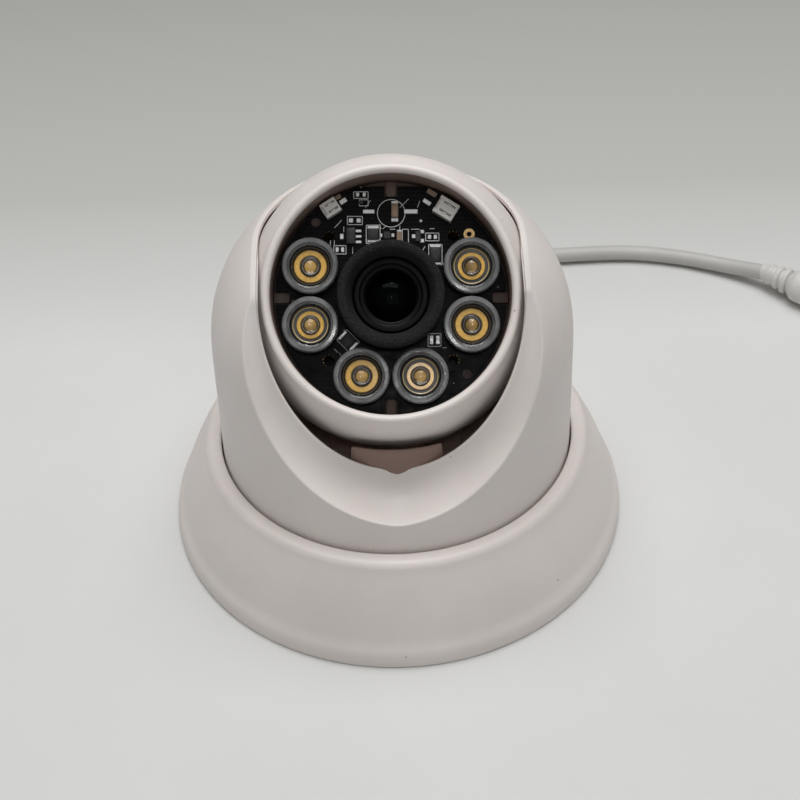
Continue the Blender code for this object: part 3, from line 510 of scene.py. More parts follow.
STEEL = metal("plated_steel", (0.62, 0.62, 0.61), 0.28)
YELLOW = phosphor("yellow_phosphor", (0.86, 0.52, 0.10), (0.74, 0.41, 0.06))
PALE_YELLOW = phosphor("pale_phosphor_edge", (0.72, 0.58, 0.30), (0.60, 0.46, 0.20))
# both clear mouldings carry painted light, darker low down and paler at the top
CLEAR = clear_moulding("clear_lens_moulding_painted_top_light", (0.16, 0.165, 0.17), (0.40, 0.41, 0.42), 0.10, 0.62)
DOME = clear_moulding("clear_dome_painted_top_light", (0.96, 0.96, 0.96), (1.0, 1.0, 1.0), 0.0, 1.0)
FROST = ball_moulded("frosted_collar", (0.34, 0.34, 0.34), 0.3, tint=0.8, depth=0.004)
CUP_DARK = ball_moulded("lens_cup_shadow", (0.055, 0.057, 0.06), 0.28, tint=0.7)
GLASS = coated_glass("coated_front_glass", (0.0012, 0.0014, 0.0016))
CORD = jacket("white_cord_jacket", (0.50, 0.49, 0.465))
CORD_MOULDING = jacket("white_cord_moulding", (0.66, 0.65, 0.62))


# --- Floor and light ------------------------------------------------------------------------------

def make_stage():
    """A plain pale floor with painted shade: it turns grey just behind the body and darker further back,
    where less light reaches.
    """
    deselect()
    bpy.ops.mesh.primitive_grid_add(x_subdivisions=24, y_subdivisions=24, size=6.0)
    floor = named("floor")
    finish = Finish("pale_floor_painted_far_shade")
    split = finish.node("ShaderNodeSeparateXYZ", Vector=finish.place)
    # painted shade: the floor is darkened with distance behind the body, for the light falling off towards
    # the back
    far = finish.ranged(split.outputs["Y"], 0.050, 0.112)
    farther = finish.ranged(split.outputs["Y"], 0.10, 0.36)
    clouds = finish.ranged(finish.noise(14.0, 5.0, 0.6), 0.3, 0.75)
    near_tone = finish.mixed(clouds, (0.655, 0.655, 0.645), (0.69, 0.69, 0.68))
    far_painted_shade = finish.mixed(farther, (0.50, 0.498, 0.48), (0.26, 0.257, 0.247))
    finish.colour(finish.mixed(far, near_tone, far_painted_shade))
    finish.relief(finish.noise(220.0, 4.0), 0.03, 0.4)
    finish.set(Roughness=0.75)
    floor.data.materials.append(finish.material)


LIGHT_AIM = (0, 0, 0.03)


def add_light(name, at, size, power):
    """A square soft light, in metres, aimed at the body."""
    data = bpy.data.lights.new(name, "AREA")
    data.size = size
    data.energy = power
    light = bpy.data.objects.new(name, data)
    bpy.context.scene.collection.objects.link(light)
    light.location = at
    light.rotation_euler = (Vector(LIGHT_AIM) - Vector(at)).to_track_quat("-Z", "Y").to_euler()


def light_scene():
    """An even sky, a wide light overhead with a small one beside it, and two weaker ones in front."""
    world = bpy.data.worlds.new("soft_room")
    world.use_nodes = True
    sky = world.node_tree.nodes["Background"]
    sky.inputs["Color"].default_value = (1.0, 0.995, 0.985, 1.0)
    sky.inputs["Strength"].default_value = 0.21
    bpy.context.scene.world = world
    add_light("overhead", (0.02, 0.16, 1.10), 0.9, 9.5)
    add_light("bulb", (0.06, 0.02, 1.00), 0.10, 0.7)
    add_light("front", (0.10, -0.90, 0.80), 0.7, 1.0)
    add_light("strip", (0.01, -0.42, 0.47), 0.03, 0.06)
    bpy.context.scene.view_settings.view_transform = "Standard"


# --- Cords and what is on them --------------------------------------------------------------------

CORD_R = 1.8
TAIL_R = 1.5
EXIT_Z = 3.3
CORD_ROUTE = [(0, 22, EXIT_Z), (0, 36, EXIT_Z), (0, 50, EXIT_Z), (1.4, 60.5, 2.6), (8.0, 70.3, 1.9),
              (22, 76.6, 1.9), (41.5, 77.6, 1.9), (58, 77.6, 1.9), (70.6, 74.8, 1.9), (81.5, 69.8, 2.5),
              (89.0, 64.9, 4.0)]
SPLIT_AT = (89.4, 64.6, 4.0)
SPLIT_HEADING = -41.0
SPLIT_LENGTH = 25.0
VIDEO_ROUTE = [(109.7, 49.1, 4.0), (114.6, 44.8, 3.2), (121.5, 36.5, 1.7), (126.8, 22.0, 2.2),
               (128.0, 9.0, 5.3), (127.9, 2.2, 6.3)]
VIDEO_AT = (127.9, 1.9, 6.3)
VIDEO_HEADING = -90.5
POWER_ROUTE = [(107.6, 46.6, 4.0), (111.4, 43.0, 3.2), (114.6, 35.5, 1.7), (114.0, 21.0, 2.2),
               (110.2, 8.4, 4.3), (108.6, 2.2, 4.8)]
POWER_AT = (108.4, 1.9, 4.8)
POWER_HEADING = -101.0


SPAN_STEPS = 24


def smooth_route(route, spacing):
    """Evenly spaced points on a smooth curve through the route's own points, in mm, and its length."""
    points = [Vector(place) for place in route]
    points = [points[0] * 2 - points[1]] + points + [points[-1] * 2 - points[-2]]
    dense = []
    for i in range(1, len(points) - 2):
        before, a, b, after = points[i - 1:i + 3]
        for step in range(SPAN_STEPS):
            t = step / SPAN_STEPS
            place = a * 2 + (b - before) * t + (before * 2 - a * 5 + b * 4 - after) * t ** 2
            dense.append((place + (a * 3 - before - b * 3 + after) * t ** 3) / 2)
    dense.append(points[-2])
    lengths = [0.0]
    for a, b in zip(dense, dense[1:]):
        lengths.append(lengths[-1] + (b - a).length)
    count = max(2, round(lengths[-1] / spacing))
    even = []
    j = 0
    for i in range(count + 1):
        target = lengths[-1] * i / count
        while j < len(lengths) - 2 and lengths[j + 1] < target:
            j += 1
        share = (target - lengths[j]) / (lengths[j + 1] - lengths[j])
        even.append(dense[j].lerp(dense[j + 1], share))
    return even, lengths[-1]


def lay_cord(name, route, radius, node):
    """A round jacket along a route."""
    curve = bpy.data.curves.new(name, "CURVE")
    curve.dimensions = "3D"
    curve.bevel_depth = radius * MM
    curve.bevel_resolution = 8
    curve.use_fill_caps = True
    spline = curve.splines.new("POLY")
    places, length = smooth_route(route, radius * 1.2)
    spline.points.add(len(places) - 1)
    for point, place in zip(spline.points, places):
        point.co = (*(place * MM), 1.0)
    cord = bpy.data.objects.new(name, curve)
    bpy.context.scene.collection.objects.link(cord)
    settle(cord, "base", CORD, (node,))


def along(at, heading):
    """The place of a piece that lies level from a point, its Z along the heading."""
    return (Matrix.Translation(Vector(at) * MM) @ Matrix.Rotation(math.radians(heading), 4, "Z")
            @ Matrix.Rotation(math.pi / 2, 4, "Y"))


def ribs(neck, width, count, pitch):
    """Outline of round ribs on a thinner neck, each wider than the last."""
    points = []
    for i in range(count):
        z = pitch * i
        rib = neck + (width - neck) * (i + 1) / (count + 1)
        points += [(neck, z), (rib - 0.2, z + pitch * 0.12), (rib, z + pitch * 0.28), (rib, z + pitch * 0.52),
                   (rib - 0.2, z + pitch * 0.68), (neck, z + pitch * 0.8)]
    return points


def make_cords():
    """The cord, its splitter and the two tails with their sockets."""
    split_frame = along(SPLIT_AT, SPLIT_HEADING)
    body = arc((3.4, 9.0), (0.5, 2.0), -90, 0, 5) + [(3.9, SPLIT_LENGTH - 2.0)]
    body += arc((3.1, SPLIT_LENGTH - 0.8), (0.8, 0.8), 0, 90, 5)
    outline = [(0, -1.6), (1.83, -1.6), (2.0, -0.6)] + ribs(2.2, 3.4, 3, 2.0) + [(3.2, 6.6)] + body
    outline += [(0, SPLIT_LENGTH)]
    splitter = turned("splitter_moulding", outline, 48, closed=False)
    settle(splitter, "base", CORD_MOULDING, ("cord_splitter",), split_frame)

    video_frame = along(VIDEO_AT, VIDEO_HEADING)
    outline = [(0, 0)] + ribs(2.0, 4.0, 3, 2.0)
    outline += [(4.2, 6.6), (4.8, 7.6), (4.8, 14.6), (4.5, 15.0), (0, 15.0)]
    boot = turned("video_plug_boot", outline, 48, closed=False)
    settle(boot, "base", CORD, ("video_boot",), video_frame)
    outline = [(0, 15.3), (5.9, 15.3), (6.2, 15.6), (6.2, 18.7), (5.9, 19.0), (5.0, 19.2), (4.8, 19.5),
               (4.8, 29.7), (4.6, 30.0), (4.2, 30.0), (4.1, 29.8), (4.1, 20.0), (1.1, 20.0), (1.1, 27.6),
               (0.8, 28.0), (0, 28.0)]
    socket = turned("video_socket_metal", outline, 48, closed=False)
    for turn in (90, -90):
        lug = pin("lug", 0.95, 4.4, 5.75, steps=20, edge=0.2)
        lug.data.transform(Matrix.Translation((0, 0, 26.0 * MM))
                           @ Matrix.Rotation(math.radians(turn), 4, "Y"))
        carve(socket, lug, "UNION")
    settle(socket, "base", STEEL, ("video_socket",), video_frame)

    power_frame = along(POWER_AT, POWER_HEADING)
    outline = [(0, 0)] + ribs(2.0, 3.6, 3, 2.0)
    outline += [(3.9, 6.8), (4.7, 8.2), (4.7, 26.7), (4.4, 27.0), (3.5, 27.0), (3.2, 26.7), (3.2, 16.0),
                (0, 16.0)]
    jack = turned("power_socket_moulding", outline, 48, closed=False)
    settle(jack, "base", CORD, ("power_socket",), power_frame)
    outline = [(0, 16.3), (1.0, 16.3), (1.0, 24.9), (0.8, 25.4), (0.4, 25.6), (0, 25.6)]
    contact = turned("power_contact_pin", outline, 24, closed=False)
    settle(contact, "base", STEEL, ("power_pin",), power_frame)

    start = BASE_R - 6.0
    outline = [(2.1, start), (2.9, start)]
    for i in range(3):
        y = BASE_R + 0.4 + 1.5 * i
        wide = 2.9 - 0.2 * i
        outline += [(wide - 0.15, y), (wide, y + 0.2), (wide, y + 0.6), (wide - 0.15, y + 0.8),
                    (2.2, y + 1.0), (2.2, y + 1.3)]
    outline += [(2.15, BASE_R + 4.9)]
    grommet = turned("cord_grommet", outline, 48)
    grommet_frame = Matrix.Translation((0, 0, EXIT_Z * MM)) @ Matrix.Rotation(-math.pi / 2, 4, "X")
    settle(grommet, "base", COVER, ("cable_grommet",), grommet_frame)

    lay_cord("cord_main_jacket", CORD_ROUTE, CORD_R, "cord_main")
    lay_cord("cord_video_jacket", VIDEO_ROUTE, TAIL_R, "cord_video")
    lay_cord("cord_power_jacket", POWER_ROUTE, TAIL_R, "cord_power")


# --- Base -----------------------------------------------------------------------------------------

RIDGE_R = 43.75
RIDGE_H = 4.95


def make_base_cover():
    """The sloped ring: a short wall, a soft ridge, a long slope and a rounded shoulder at the seam."""
    lip = SHELL_R + GAP
    outside = [(44.75, 0.0), (44.95, 0.2), (45.0, 0.6), (44.95, 2.2)]
    outside += [(44.7, 3.3), (44.3, 4.1), (RIDGE_R, RIDGE_H)]
    shoulder_low = (lip + 3.5, FLANGE_H - 1.6)
    for i in range(1, 12):
        share = i / 12
        crown = 0.42 * math.sin(math.pi * share)
        outside.append((RIDGE_R + (shoulder_low[0] - RIDGE_R) * share + crown * 0.78,
                        RIDGE_H + (shoulder_low[1] - RIDGE_H) * share + crown * 0.62))
    outside += [shoulder_low] + arc((lip + 1.75, FLANGE_H - 1.95), (1.75, 1.95), 28, 90, 8)
    outside += arc((lip + 0.55, FLANGE_H - 0.55), (0.55, 0.55), 90, 180, 4)
    inside = [(lip, FLANGE_H - 2.2), (lip + 0.7, FLANGE_H - 2.2), (37.16, 17.0), (41.8, 4.2),
              (42.8, 0.0)]
    cover = turned("base_flange", outside + inside, 180)
    notch = slab("notch", (0, 43, -1), (6.4, 12, 4.3))
    arch = pin("arch", 3.2, 36, 48, steps=40)
    arch.data.transform(Matrix.Translation((0, 0, EXIT_Z * MM)) @ Matrix.Rotation(-math.pi / 2, 4, "X"))
    carve(notch, arch, "UNION")
    carve(cover, notch)
    settle(cover, "base", COVER, ("base_cover",), angle=40)


# --- Turret ---------------------------------------------------------------------------------------

CAVE_WALL = 1.0
WALL_DROP = 6.6
WALL_TOP = BALL_Z - WALL_DROP
DRAFT = math.tan(math.radians(1.0))
SHOULDER_R = SHELL_R - (WALL_TOP - FLANGE_H) * DRAFT
SHOULDER_REACH = 22.9
SLOT_HALF = BALL_R - 3.5
SLOT_END_DROP = 7.2
SLOT_END_ANGLE = 41.0
EDGE_RISE = math.sqrt((BALL_R + GAP + 0.75) ** 2 - SLOT_HALF ** 2)
EDGE_SHARE = (SLOT_HALF - (SHOULDER_R - SHOULDER_REACH)) / SHOULDER_REACH
SHOULDER_H = (EDGE_RISE + WALL_DROP) / math.sqrt(1 - EDGE_SHARE ** 2)
SHELL_TOP = WALL_TOP + SHOULDER_H
SHELL_FOOT = 17.6
SCOOP_SIDE = (1.1, 0.5, 0.2)
SCOOP_FRONT = (10.0, 12.0, 3.2)
STATIONS = 168
FRONT_SHARE = 0.46
LIFT_SHARE = 0.13
SCOOP_STEPS = (0.12, 0.25, 0.4, 0.55, 0.7, 0.83, 0.92, 0.965)
SKIN_STEPS = (0.012, 0.045, 0.10, 0.17, 0.25, 0.33, 0.42, 0.51, 0.60, 0.69, 0.78, 0.87, 0.94, 1.0)


def shell_radius(height):
    """Outer radius of the turret at a height."""
    if height <= WALL_TOP:
        return SHELL_R - (height - FLANGE_H) * DRAFT
    rise = min((height - WALL_TOP) / SHOULDER_H, 1.0)
    return SHOULDER_R - SHOULDER_REACH * (1 - math.sqrt(1 - rise * rise))


def distance_to_shell(direction, side, reach):
    """How far along a direction a point, moved sideways from the ball's middle, meets the turret."""
    low, high = 0.0, SHELL_TOP
    for _ in range(40):
        middle = (low + high) / 2
        point = Vector((0, 0, BALL_Z)) + direction * middle + side * reach
        inside = point.z < SHELL_TOP and math.hypot(point.x, point.y) < shell_radius(point.z)
        low, high = (middle, high) if inside else (low, middle)
    return low


def slot_station(u):
    """Direction out of the ball, direction sideways and front share, for u from 0 to 1 round the slot."""
    end = math.radians(SLOT_END_ANGLE)
    across = Vector((1, 0, 0))
    forward = Vector((0, -math.cos(end), math.sin(end)))
    down = Vector((0, -math.sin(end), -math.cos(end)))
    back_share = 1 - FRONT_SHARE - 2 * LIFT_SHARE
    if u < FRONT_SHARE:
        angle = math.pi * u / FRONT_SHARE
        return forward, across * math.cos(angle) + down * math.sin(angle), math.sin(angle)
    u -= FRONT_SHARE
    if u < LIFT_SHARE:
        lift = end + (math.pi / 2 - end) * u / LIFT_SHARE
        return Vector((0, -math.cos(lift), math.sin(lift))), -across, 0.0
    u -= LIFT_SHARE
    if u < back_share:
        angle = math.pi * u / back_share
        return Vector((0, 0, 1)), Vector((0, 1, 0)) * math.sin(angle) - across * math.cos(angle), 0.0
    u -= back_share
    lift = math.pi / 2 - (math.pi / 2 - end) * u / LIFT_SHARE
    return Vector((0, -math.cos(lift), math.sin(lift))), across, 0.0


def slot_line(u):
    """Points from the foot of the slot's wall, over its edge and through the scoop to the crease."""
    direction, side, share = slot_station(u)
    longest = SLOT_HALF + SLOT_END_DROP
    reach = 1 / math.sqrt((1 - share ** 2) / SLOT_HALF ** 2 + share ** 2 / longest ** 2)
    blend = (math.asin(min(share, 1.0)) / (math.pi / 2)) ** 0.8 if share > 0 else 0.0
    width, depth, sink = [a + (b - a) * blend for a, b in zip(SCOOP_SIDE, SCOOP_FRONT)]
    edge = distance_to_shell(direction, side, reach) - depth
    crease = distance_to_shell(direction, side, reach + width)
    start, corner, finish = (edge, reach), (edge - sink, reach + width * 0.55), (crease, reach + width)
    line = [(edge - 1.25, reach), (edge - 0.6, reach), (edge - 0.22, reach + 0.02),
            (edge, reach + 0.22 * min(1, width / 4))]
    for t in SCOOP_STEPS:
        line.append(tuple(start[k] * (1 - t) ** 2 + corner[k] * 2 * t * (1 - t) + finish[k] * t ** 2
                          for k in (0, 1)))
    middle = Vector((0, 0, BALL_Z))
    points = [middle + direction * out + side * away for out, away in line]
    return points, middle + direction * crease + side * (reach + width)


def make_turret_cover():
    """The turret's skin, laid from the slot's wall through the scoop and down, and then thickened."""
    lines = [slot_line(i / STATIONS) for i in range(STATIONS)]
    creases = [crease for _, crease in lines]
    run = [0.0]
    for a, b in zip(creases, creases[1:] + creases[:1]):
        run.append(run[-1] + (b - a).length)
    lowest = min(range(STATIONS), key=lambda i: creases[i].z - 0.001 * creases[i].y)
    rows = len(lines[0][0]) + len(SKIN_STEPS)

    def place(u, v):
        i = round(u * STATIONS) % STATIONS
        j = round(v * (rows - 1))
        line, crease = lines[i]
        if j < len(line):
            return line[j]
        share = SKIN_STEPS[j - len(line)]
        foot = math.radians(-90) - 2 * math.pi * (run[i] - run[lowest]) / run[-1]
        top = math.atan2(crease.y, crease.x)
        top += 2 * math.pi * round((foot - top) / (2 * math.pi))
        angle = top + (foot - top) * share ** 0.9
        height = crease.z + (SHELL_FOOT - crease.z) * share
        radius = shell_radius(height)
        return (radius * math.cos(angle), radius * math.sin(angle), height)

    shell = formed("turret_cover", STATIONS, rows - 1, place)
    apply(shell, "SUBSURF", levels=1, render_levels=1)
    apply(shell, "SOLIDIFY", thickness=CAVE_WALL * MM, offset=-1.0, use_even_offset=False)
    middle = Vector((0, 0, BALL_Z)) * MM
    clear = (BALL_R + GAP) * MM
    for vertex in shell.data.vertices:
        away = vertex.co - middle
        if away.length < clear:
            vertex.co = middle + away * (clear / away.length)
    settle(shell, "turret", COVER, ("turret_shell",), angle=50)


# --- Ball -----------------------------------------------------------------------------------------

GUARD_R = 25.2
GUARD_FOOT = 26.0
GUARD_RISE = 10.3
BALL_WALL = 1.8
SEAM_Z = -4.0
RIB_FOOT = 4.14


def make_guard():
    """An upright tongue on the turret, in front of the ball's underside, painted dark brown for the shade
    under the ball.
    """
    def place(u, v):
        half = 8.9 - 0.8 * v
        x = -half + 2 * half * u
        return (x, -math.sqrt(GUARD_R ** 2 - x ** 2), GUARD_FOOT + GUARD_RISE * v)

    tongue = formed("guard_tongue", 12, 14, place, ring=False)
    apply(tongue, "SOLIDIFY", thickness=0.5 * MM, offset=-1.0)
    soften(tongue, 0.1, 2, 60)
    settle(tongue, "turret", PAINTED_SHADE_GUARD)


def make_ball_shells():
    """Front shell with a rounded eye rim and a board ledge, four ribs in the eye, and the rear shell. The
    eye's inner wall, the ledge and the ribs carry painted shade in dark brown.
    """
    inner = BALL_R - BALL_WALL
    rim_z = math.sqrt(BALL_R ** 2 - (EYE_R + 1.7) ** 2)
    core = EYE_R + 1.62
    core_top = math.sqrt(inner ** 2 - core ** 2) - 1.0
    outside = sphere_arc(BALL_R, -3.85, rim_z - 0.35, 30)
    lip = arc((EYE_R + 0.85, rim_z - 0.05), (0.85, 1.0), 22, 180, 10)
    ledge = [(EYE_R, 10.0), (EYE_R, 7.0), (EYE_R, 4.1), (18.4, 4.1), (18.4, 2.9), (core, 2.9),
             (core, core_top)]
    inside = sphere_arc(inner, SEAM_Z, core_top - 0.3, 8)[::-1]
    front = turned("ball_front", outside + lip + ledge + inside + [(26.35, SEAM_Z)], 180)
    settle(front, "ball", BALL_COVER, ("ball_front_shell",), BALL_FRAME, 40)
    front.data.materials.append(SHADED_EYE_WALL)
    front.data.materials.append(SHADED_LEDGE)
    to_ball = BALL_FRAME.inverted()
    # painted shade: faces inside the eye take the painted-shade wall or ledge finish
    for face in front.data.polygons:
        here = to_ball @ face.center
        across = math.hypot(here.x, here.y) / MM
        if across < EYE_R + 0.12 and here.z < 13.2 * MM:
            face.material_index = 1 if here.z > 5.95 * MM and across > EYE_R - 0.1 else 2

    ribs_made = []
    for turn in (0, 90, 180, 270):
        rib = slab("rib", (20.0, 0, RIB_FOOT), (2.2, 1.8, 1.55), 0, 0.08)
        tip = pin("tip", 0.88, RIB_FOOT, 5.66, (18.9, 0), 24, 0.08)
        both = joined("rib", [rib, tip])
        both.data.transform(Matrix.Rotation(math.radians(turn), 4, "Z"))
        ribs_made.append(both)
    # the ribs take the painted-shade ledge finish
    settle(joined("ball_eye_ribs", ribs_made), "ball", SHADED_LEDGE, (), BALL_FRAME, 40)

    pole = math.sqrt(BALL_R ** 2 - SEAM_Z ** 2)
    outside = sphere_arc(BALL_R, -pole, -4.45, 24)
    lip_out = math.sqrt(inner ** 2 - SEAM_Z ** 2) - GAP
    lip = [(26.3, -4.3), (lip_out, -4.3), (lip_out, -2.3), (lip_out - 0.8, -2.3), (lip_out - 1.0, -5.0)]
    inside = sphere_arc(inner, -math.sqrt(inner ** 2 - SEAM_Z ** 2), -8.0, 12)[::-1]
    rear = turned("ball_rear", outside + lip + inside, 120)
    settle(rear, "ball", BALL_COVER, ("ball_rear_shell",), BALL_FRAME, 40)


GLASS_R = 4.5
GLASS_EDGE_Z = 8.35
CROWN_ANGLE = 42


def make_lens():
    """Foam hood, stepped lens barrel and coated front glass."""
    outline = [(6.9, 6.3), (9.3, 6.3), (9.4, 6.5), (9.4, 14.5), (9.25, 14.85), (8.95, 15.0), (8.25, 15.0),
               (7.95, 14.85), (7.7, 14.4), (7.2, 13.0), (6.9, 12.0)]
    hood = turned("foam_lens_hood", outline, 128)
    settle(hood, "ball", FOAM, ("foam_hood",), BALL_FRAME, 60)

    outline = [(3.6, -2.0), (5.95, -2.0), (5.95, 5.0), (6.6, 5.0), (6.6, 11.2), (6.45, 11.45), (6.2, 11.5),
               (5.75, 11.5), (5.62, 11.4), (5.5, 10.95), (5.38, 10.9), (5.3, 10.55), (5.0, 10.5),
               (4.92, 10.3),
               (4.78, 10.25), (4.66, 9.7), (4.6, 9.6), (4.6, 7.6), (3.6, 7.6)]
    barrel = turned("lens_barrel_rings", outline, 128)
    settle(barrel, "ball", BARREL, ("lens_barrel",), BALL_FRAME, 25)

    edge = math.radians(CROWN_ANGLE)
    crown = []
    for degrees in range(CROWN_ANGLE, -1, -3):
        angle = math.radians(degrees)
        rise = GLASS_R / math.sin(edge) * (math.cos(angle) - math.cos(edge))
        crown.append((GLASS_R * math.sin(angle) / math.sin(edge), GLASS_EDGE_Z + rise))
    outline = [(0, 7.8), (GLASS_R, 7.8)] + crown[:-1] + [(0, crown[-1][1])]
    glass = turned("lens_glass_front", outline, 96, closed=False)
    settle(glass, "ball", GLASS, ("lens_front_glass",), BALL_FRAME, 30)


def led_places():
    """Six LEDs in three pairs, right, left and below the lens, and whether each has the wide ring."""
    places = []
    for middle in (0.0, 180.0, 270.0):
        for side in (-1, 1):
            angle = math.radians(middle + side * LED_SPREAD)
            places.append((LED_CIRCLE_R * math.cos(angle), LED_CIRCLE_R * math.sin(angle), 0.0))
    return list(zip(places, (True, False, True, False, True, False)))


DOME_FOOT = 10.28


def make_leds():
    """A clear stepped lens round each LED's dark cup, with yellow rings and a small clear dome."""
    outline = [(3.55, 6.2), (4.55, 6.2), (4.62, 7.3), (4.70, 7.35), (4.74, 8.3), (4.83, 8.35),
               (4.87, 9.3), (4.95, 9.35), (5.02, 11.2), (4.95, 11.75), (4.72, 11.98), (4.15, 12.0),
               (4.02, 11.8), (3.95, 11.45), (3.82, 11.35), (3.7, 11.3), (3.62, 11.0), (3.55, 10.6)]
    skirt = turned("skirt", outline, 72)
    outline = [(0, 6.2), (3.45, 6.2), (3.45, 10.9), (3.36, 11.0), (3.25, 10.8), (3.2, 10.4), (2.98, 9.9),
               (1.8, 9.85), (1.75, 10.15), (1.62, 10.2), (1.5, 10.0), (1.2, 9.85), (0, 9.85)]
    cup = turned("cup", outline, 72, closed=False)
    outline = [(1.92, 9.9), (2.9, 9.9), (2.92, 10.1), (2.8, 10.22), (2.0, 10.22), (1.9, 10.1)]
    wide = turned("wide", outline, 72)
    outline = [(1.75, 9.9), (2.42, 9.9), (2.45, 10.1), (2.35, 10.22), (1.84, 10.22), (1.74, 10.1)]
    slim = turned("slim", outline, 72)
    edge = turned("edge", [(3.0, 10.05), (3.16, 10.2), (3.16, 10.42), (3.02, 10.36)], 72)
    outline = [(0, 9.9), (0.72, 9.9), (0.75, 10.0), (0.62, 10.12), (0.3, 10.2), (0, 10.22)]
    middle = turned("middle", outline, 48, closed=False)
    outline = [(0.84, 9.88), (1.48, 9.88), (1.48, 10.12), (1.3, 10.2), (1.0, 10.14), (0.84, 10.02)]
    collar = turned("collar", outline, 48)
    outline = [(0, DOME_FOOT)] + arc((0, DOME_FOOT), (1.56, 1.30), 0, 90, 12)
    dome = turned("dome", outline, 48, closed=False)
    for number, (place, is_wide) in enumerate(led_places(), 1):
        rows = [("led_lens_skirt", skirt, "clear_optic", CLEAR, (f"led_lens_{number}",)),
                ("led_cup", cup, "lens_black", CUP_DARK, ()),
                ("led_phosphor_ring", wide if is_wide else slim, "phosphor", YELLOW, (f"led_{number}",)),
                ("led_middle", middle, "phosphor", YELLOW, ()),
                ("led_collar", collar, "clear_optic", FROST, ()),
                ("led_dome", dome, "clear_optic", DOME, ())]
        if not is_wide:
            rows.append(("led_edge_ring", edge, "phosphor", PALE_YELLOW, ()))
        for name, pattern, slot, material, stands_for in rows:
            piece = copied(f"{name}_{number}", pattern, place)
            settle(piece, "ball", material, stands_for, BALL_FRAME, 30)
    for pattern in (skirt, cup, wide, slim, edge, middle, collar, dome):
        bpy.data.objects.remove(pattern, do_unlink=True)


def plates(name, places, low, thick, edge, material, stands_for=()):
    """Thin plates on the board, as one piece: each has a middle, a width, a length and a turn."""
    made = [slab(name, (x, y, low), (wide, long, thick), turn, edge, 1) for x, y, wide, long, turn in places]
    return settle(joined(name, made), "ball", material, stands_for, BALL_FRAME)


STROKE = 0.13


def frame_lines(x, y, wide, long, turn=0.0):
    """Four thin strokes round a component."""
    cos = math.cos(math.radians(turn))
    sin = math.sin(math.radians(turn))
    strokes = []
    for right, up, stroke_wide, stroke_long in ((0, long / 2, wide, STROKE), (0, -long / 2, wide, STROKE),
                                                (wide / 2, 0, STROKE, long), (-wide / 2, 0, STROKE, long)):
        strokes.append((x + right * cos - up * sin, y + right * sin + up * cos,
                        stroke_wide, stroke_long, turn))
    return strokes


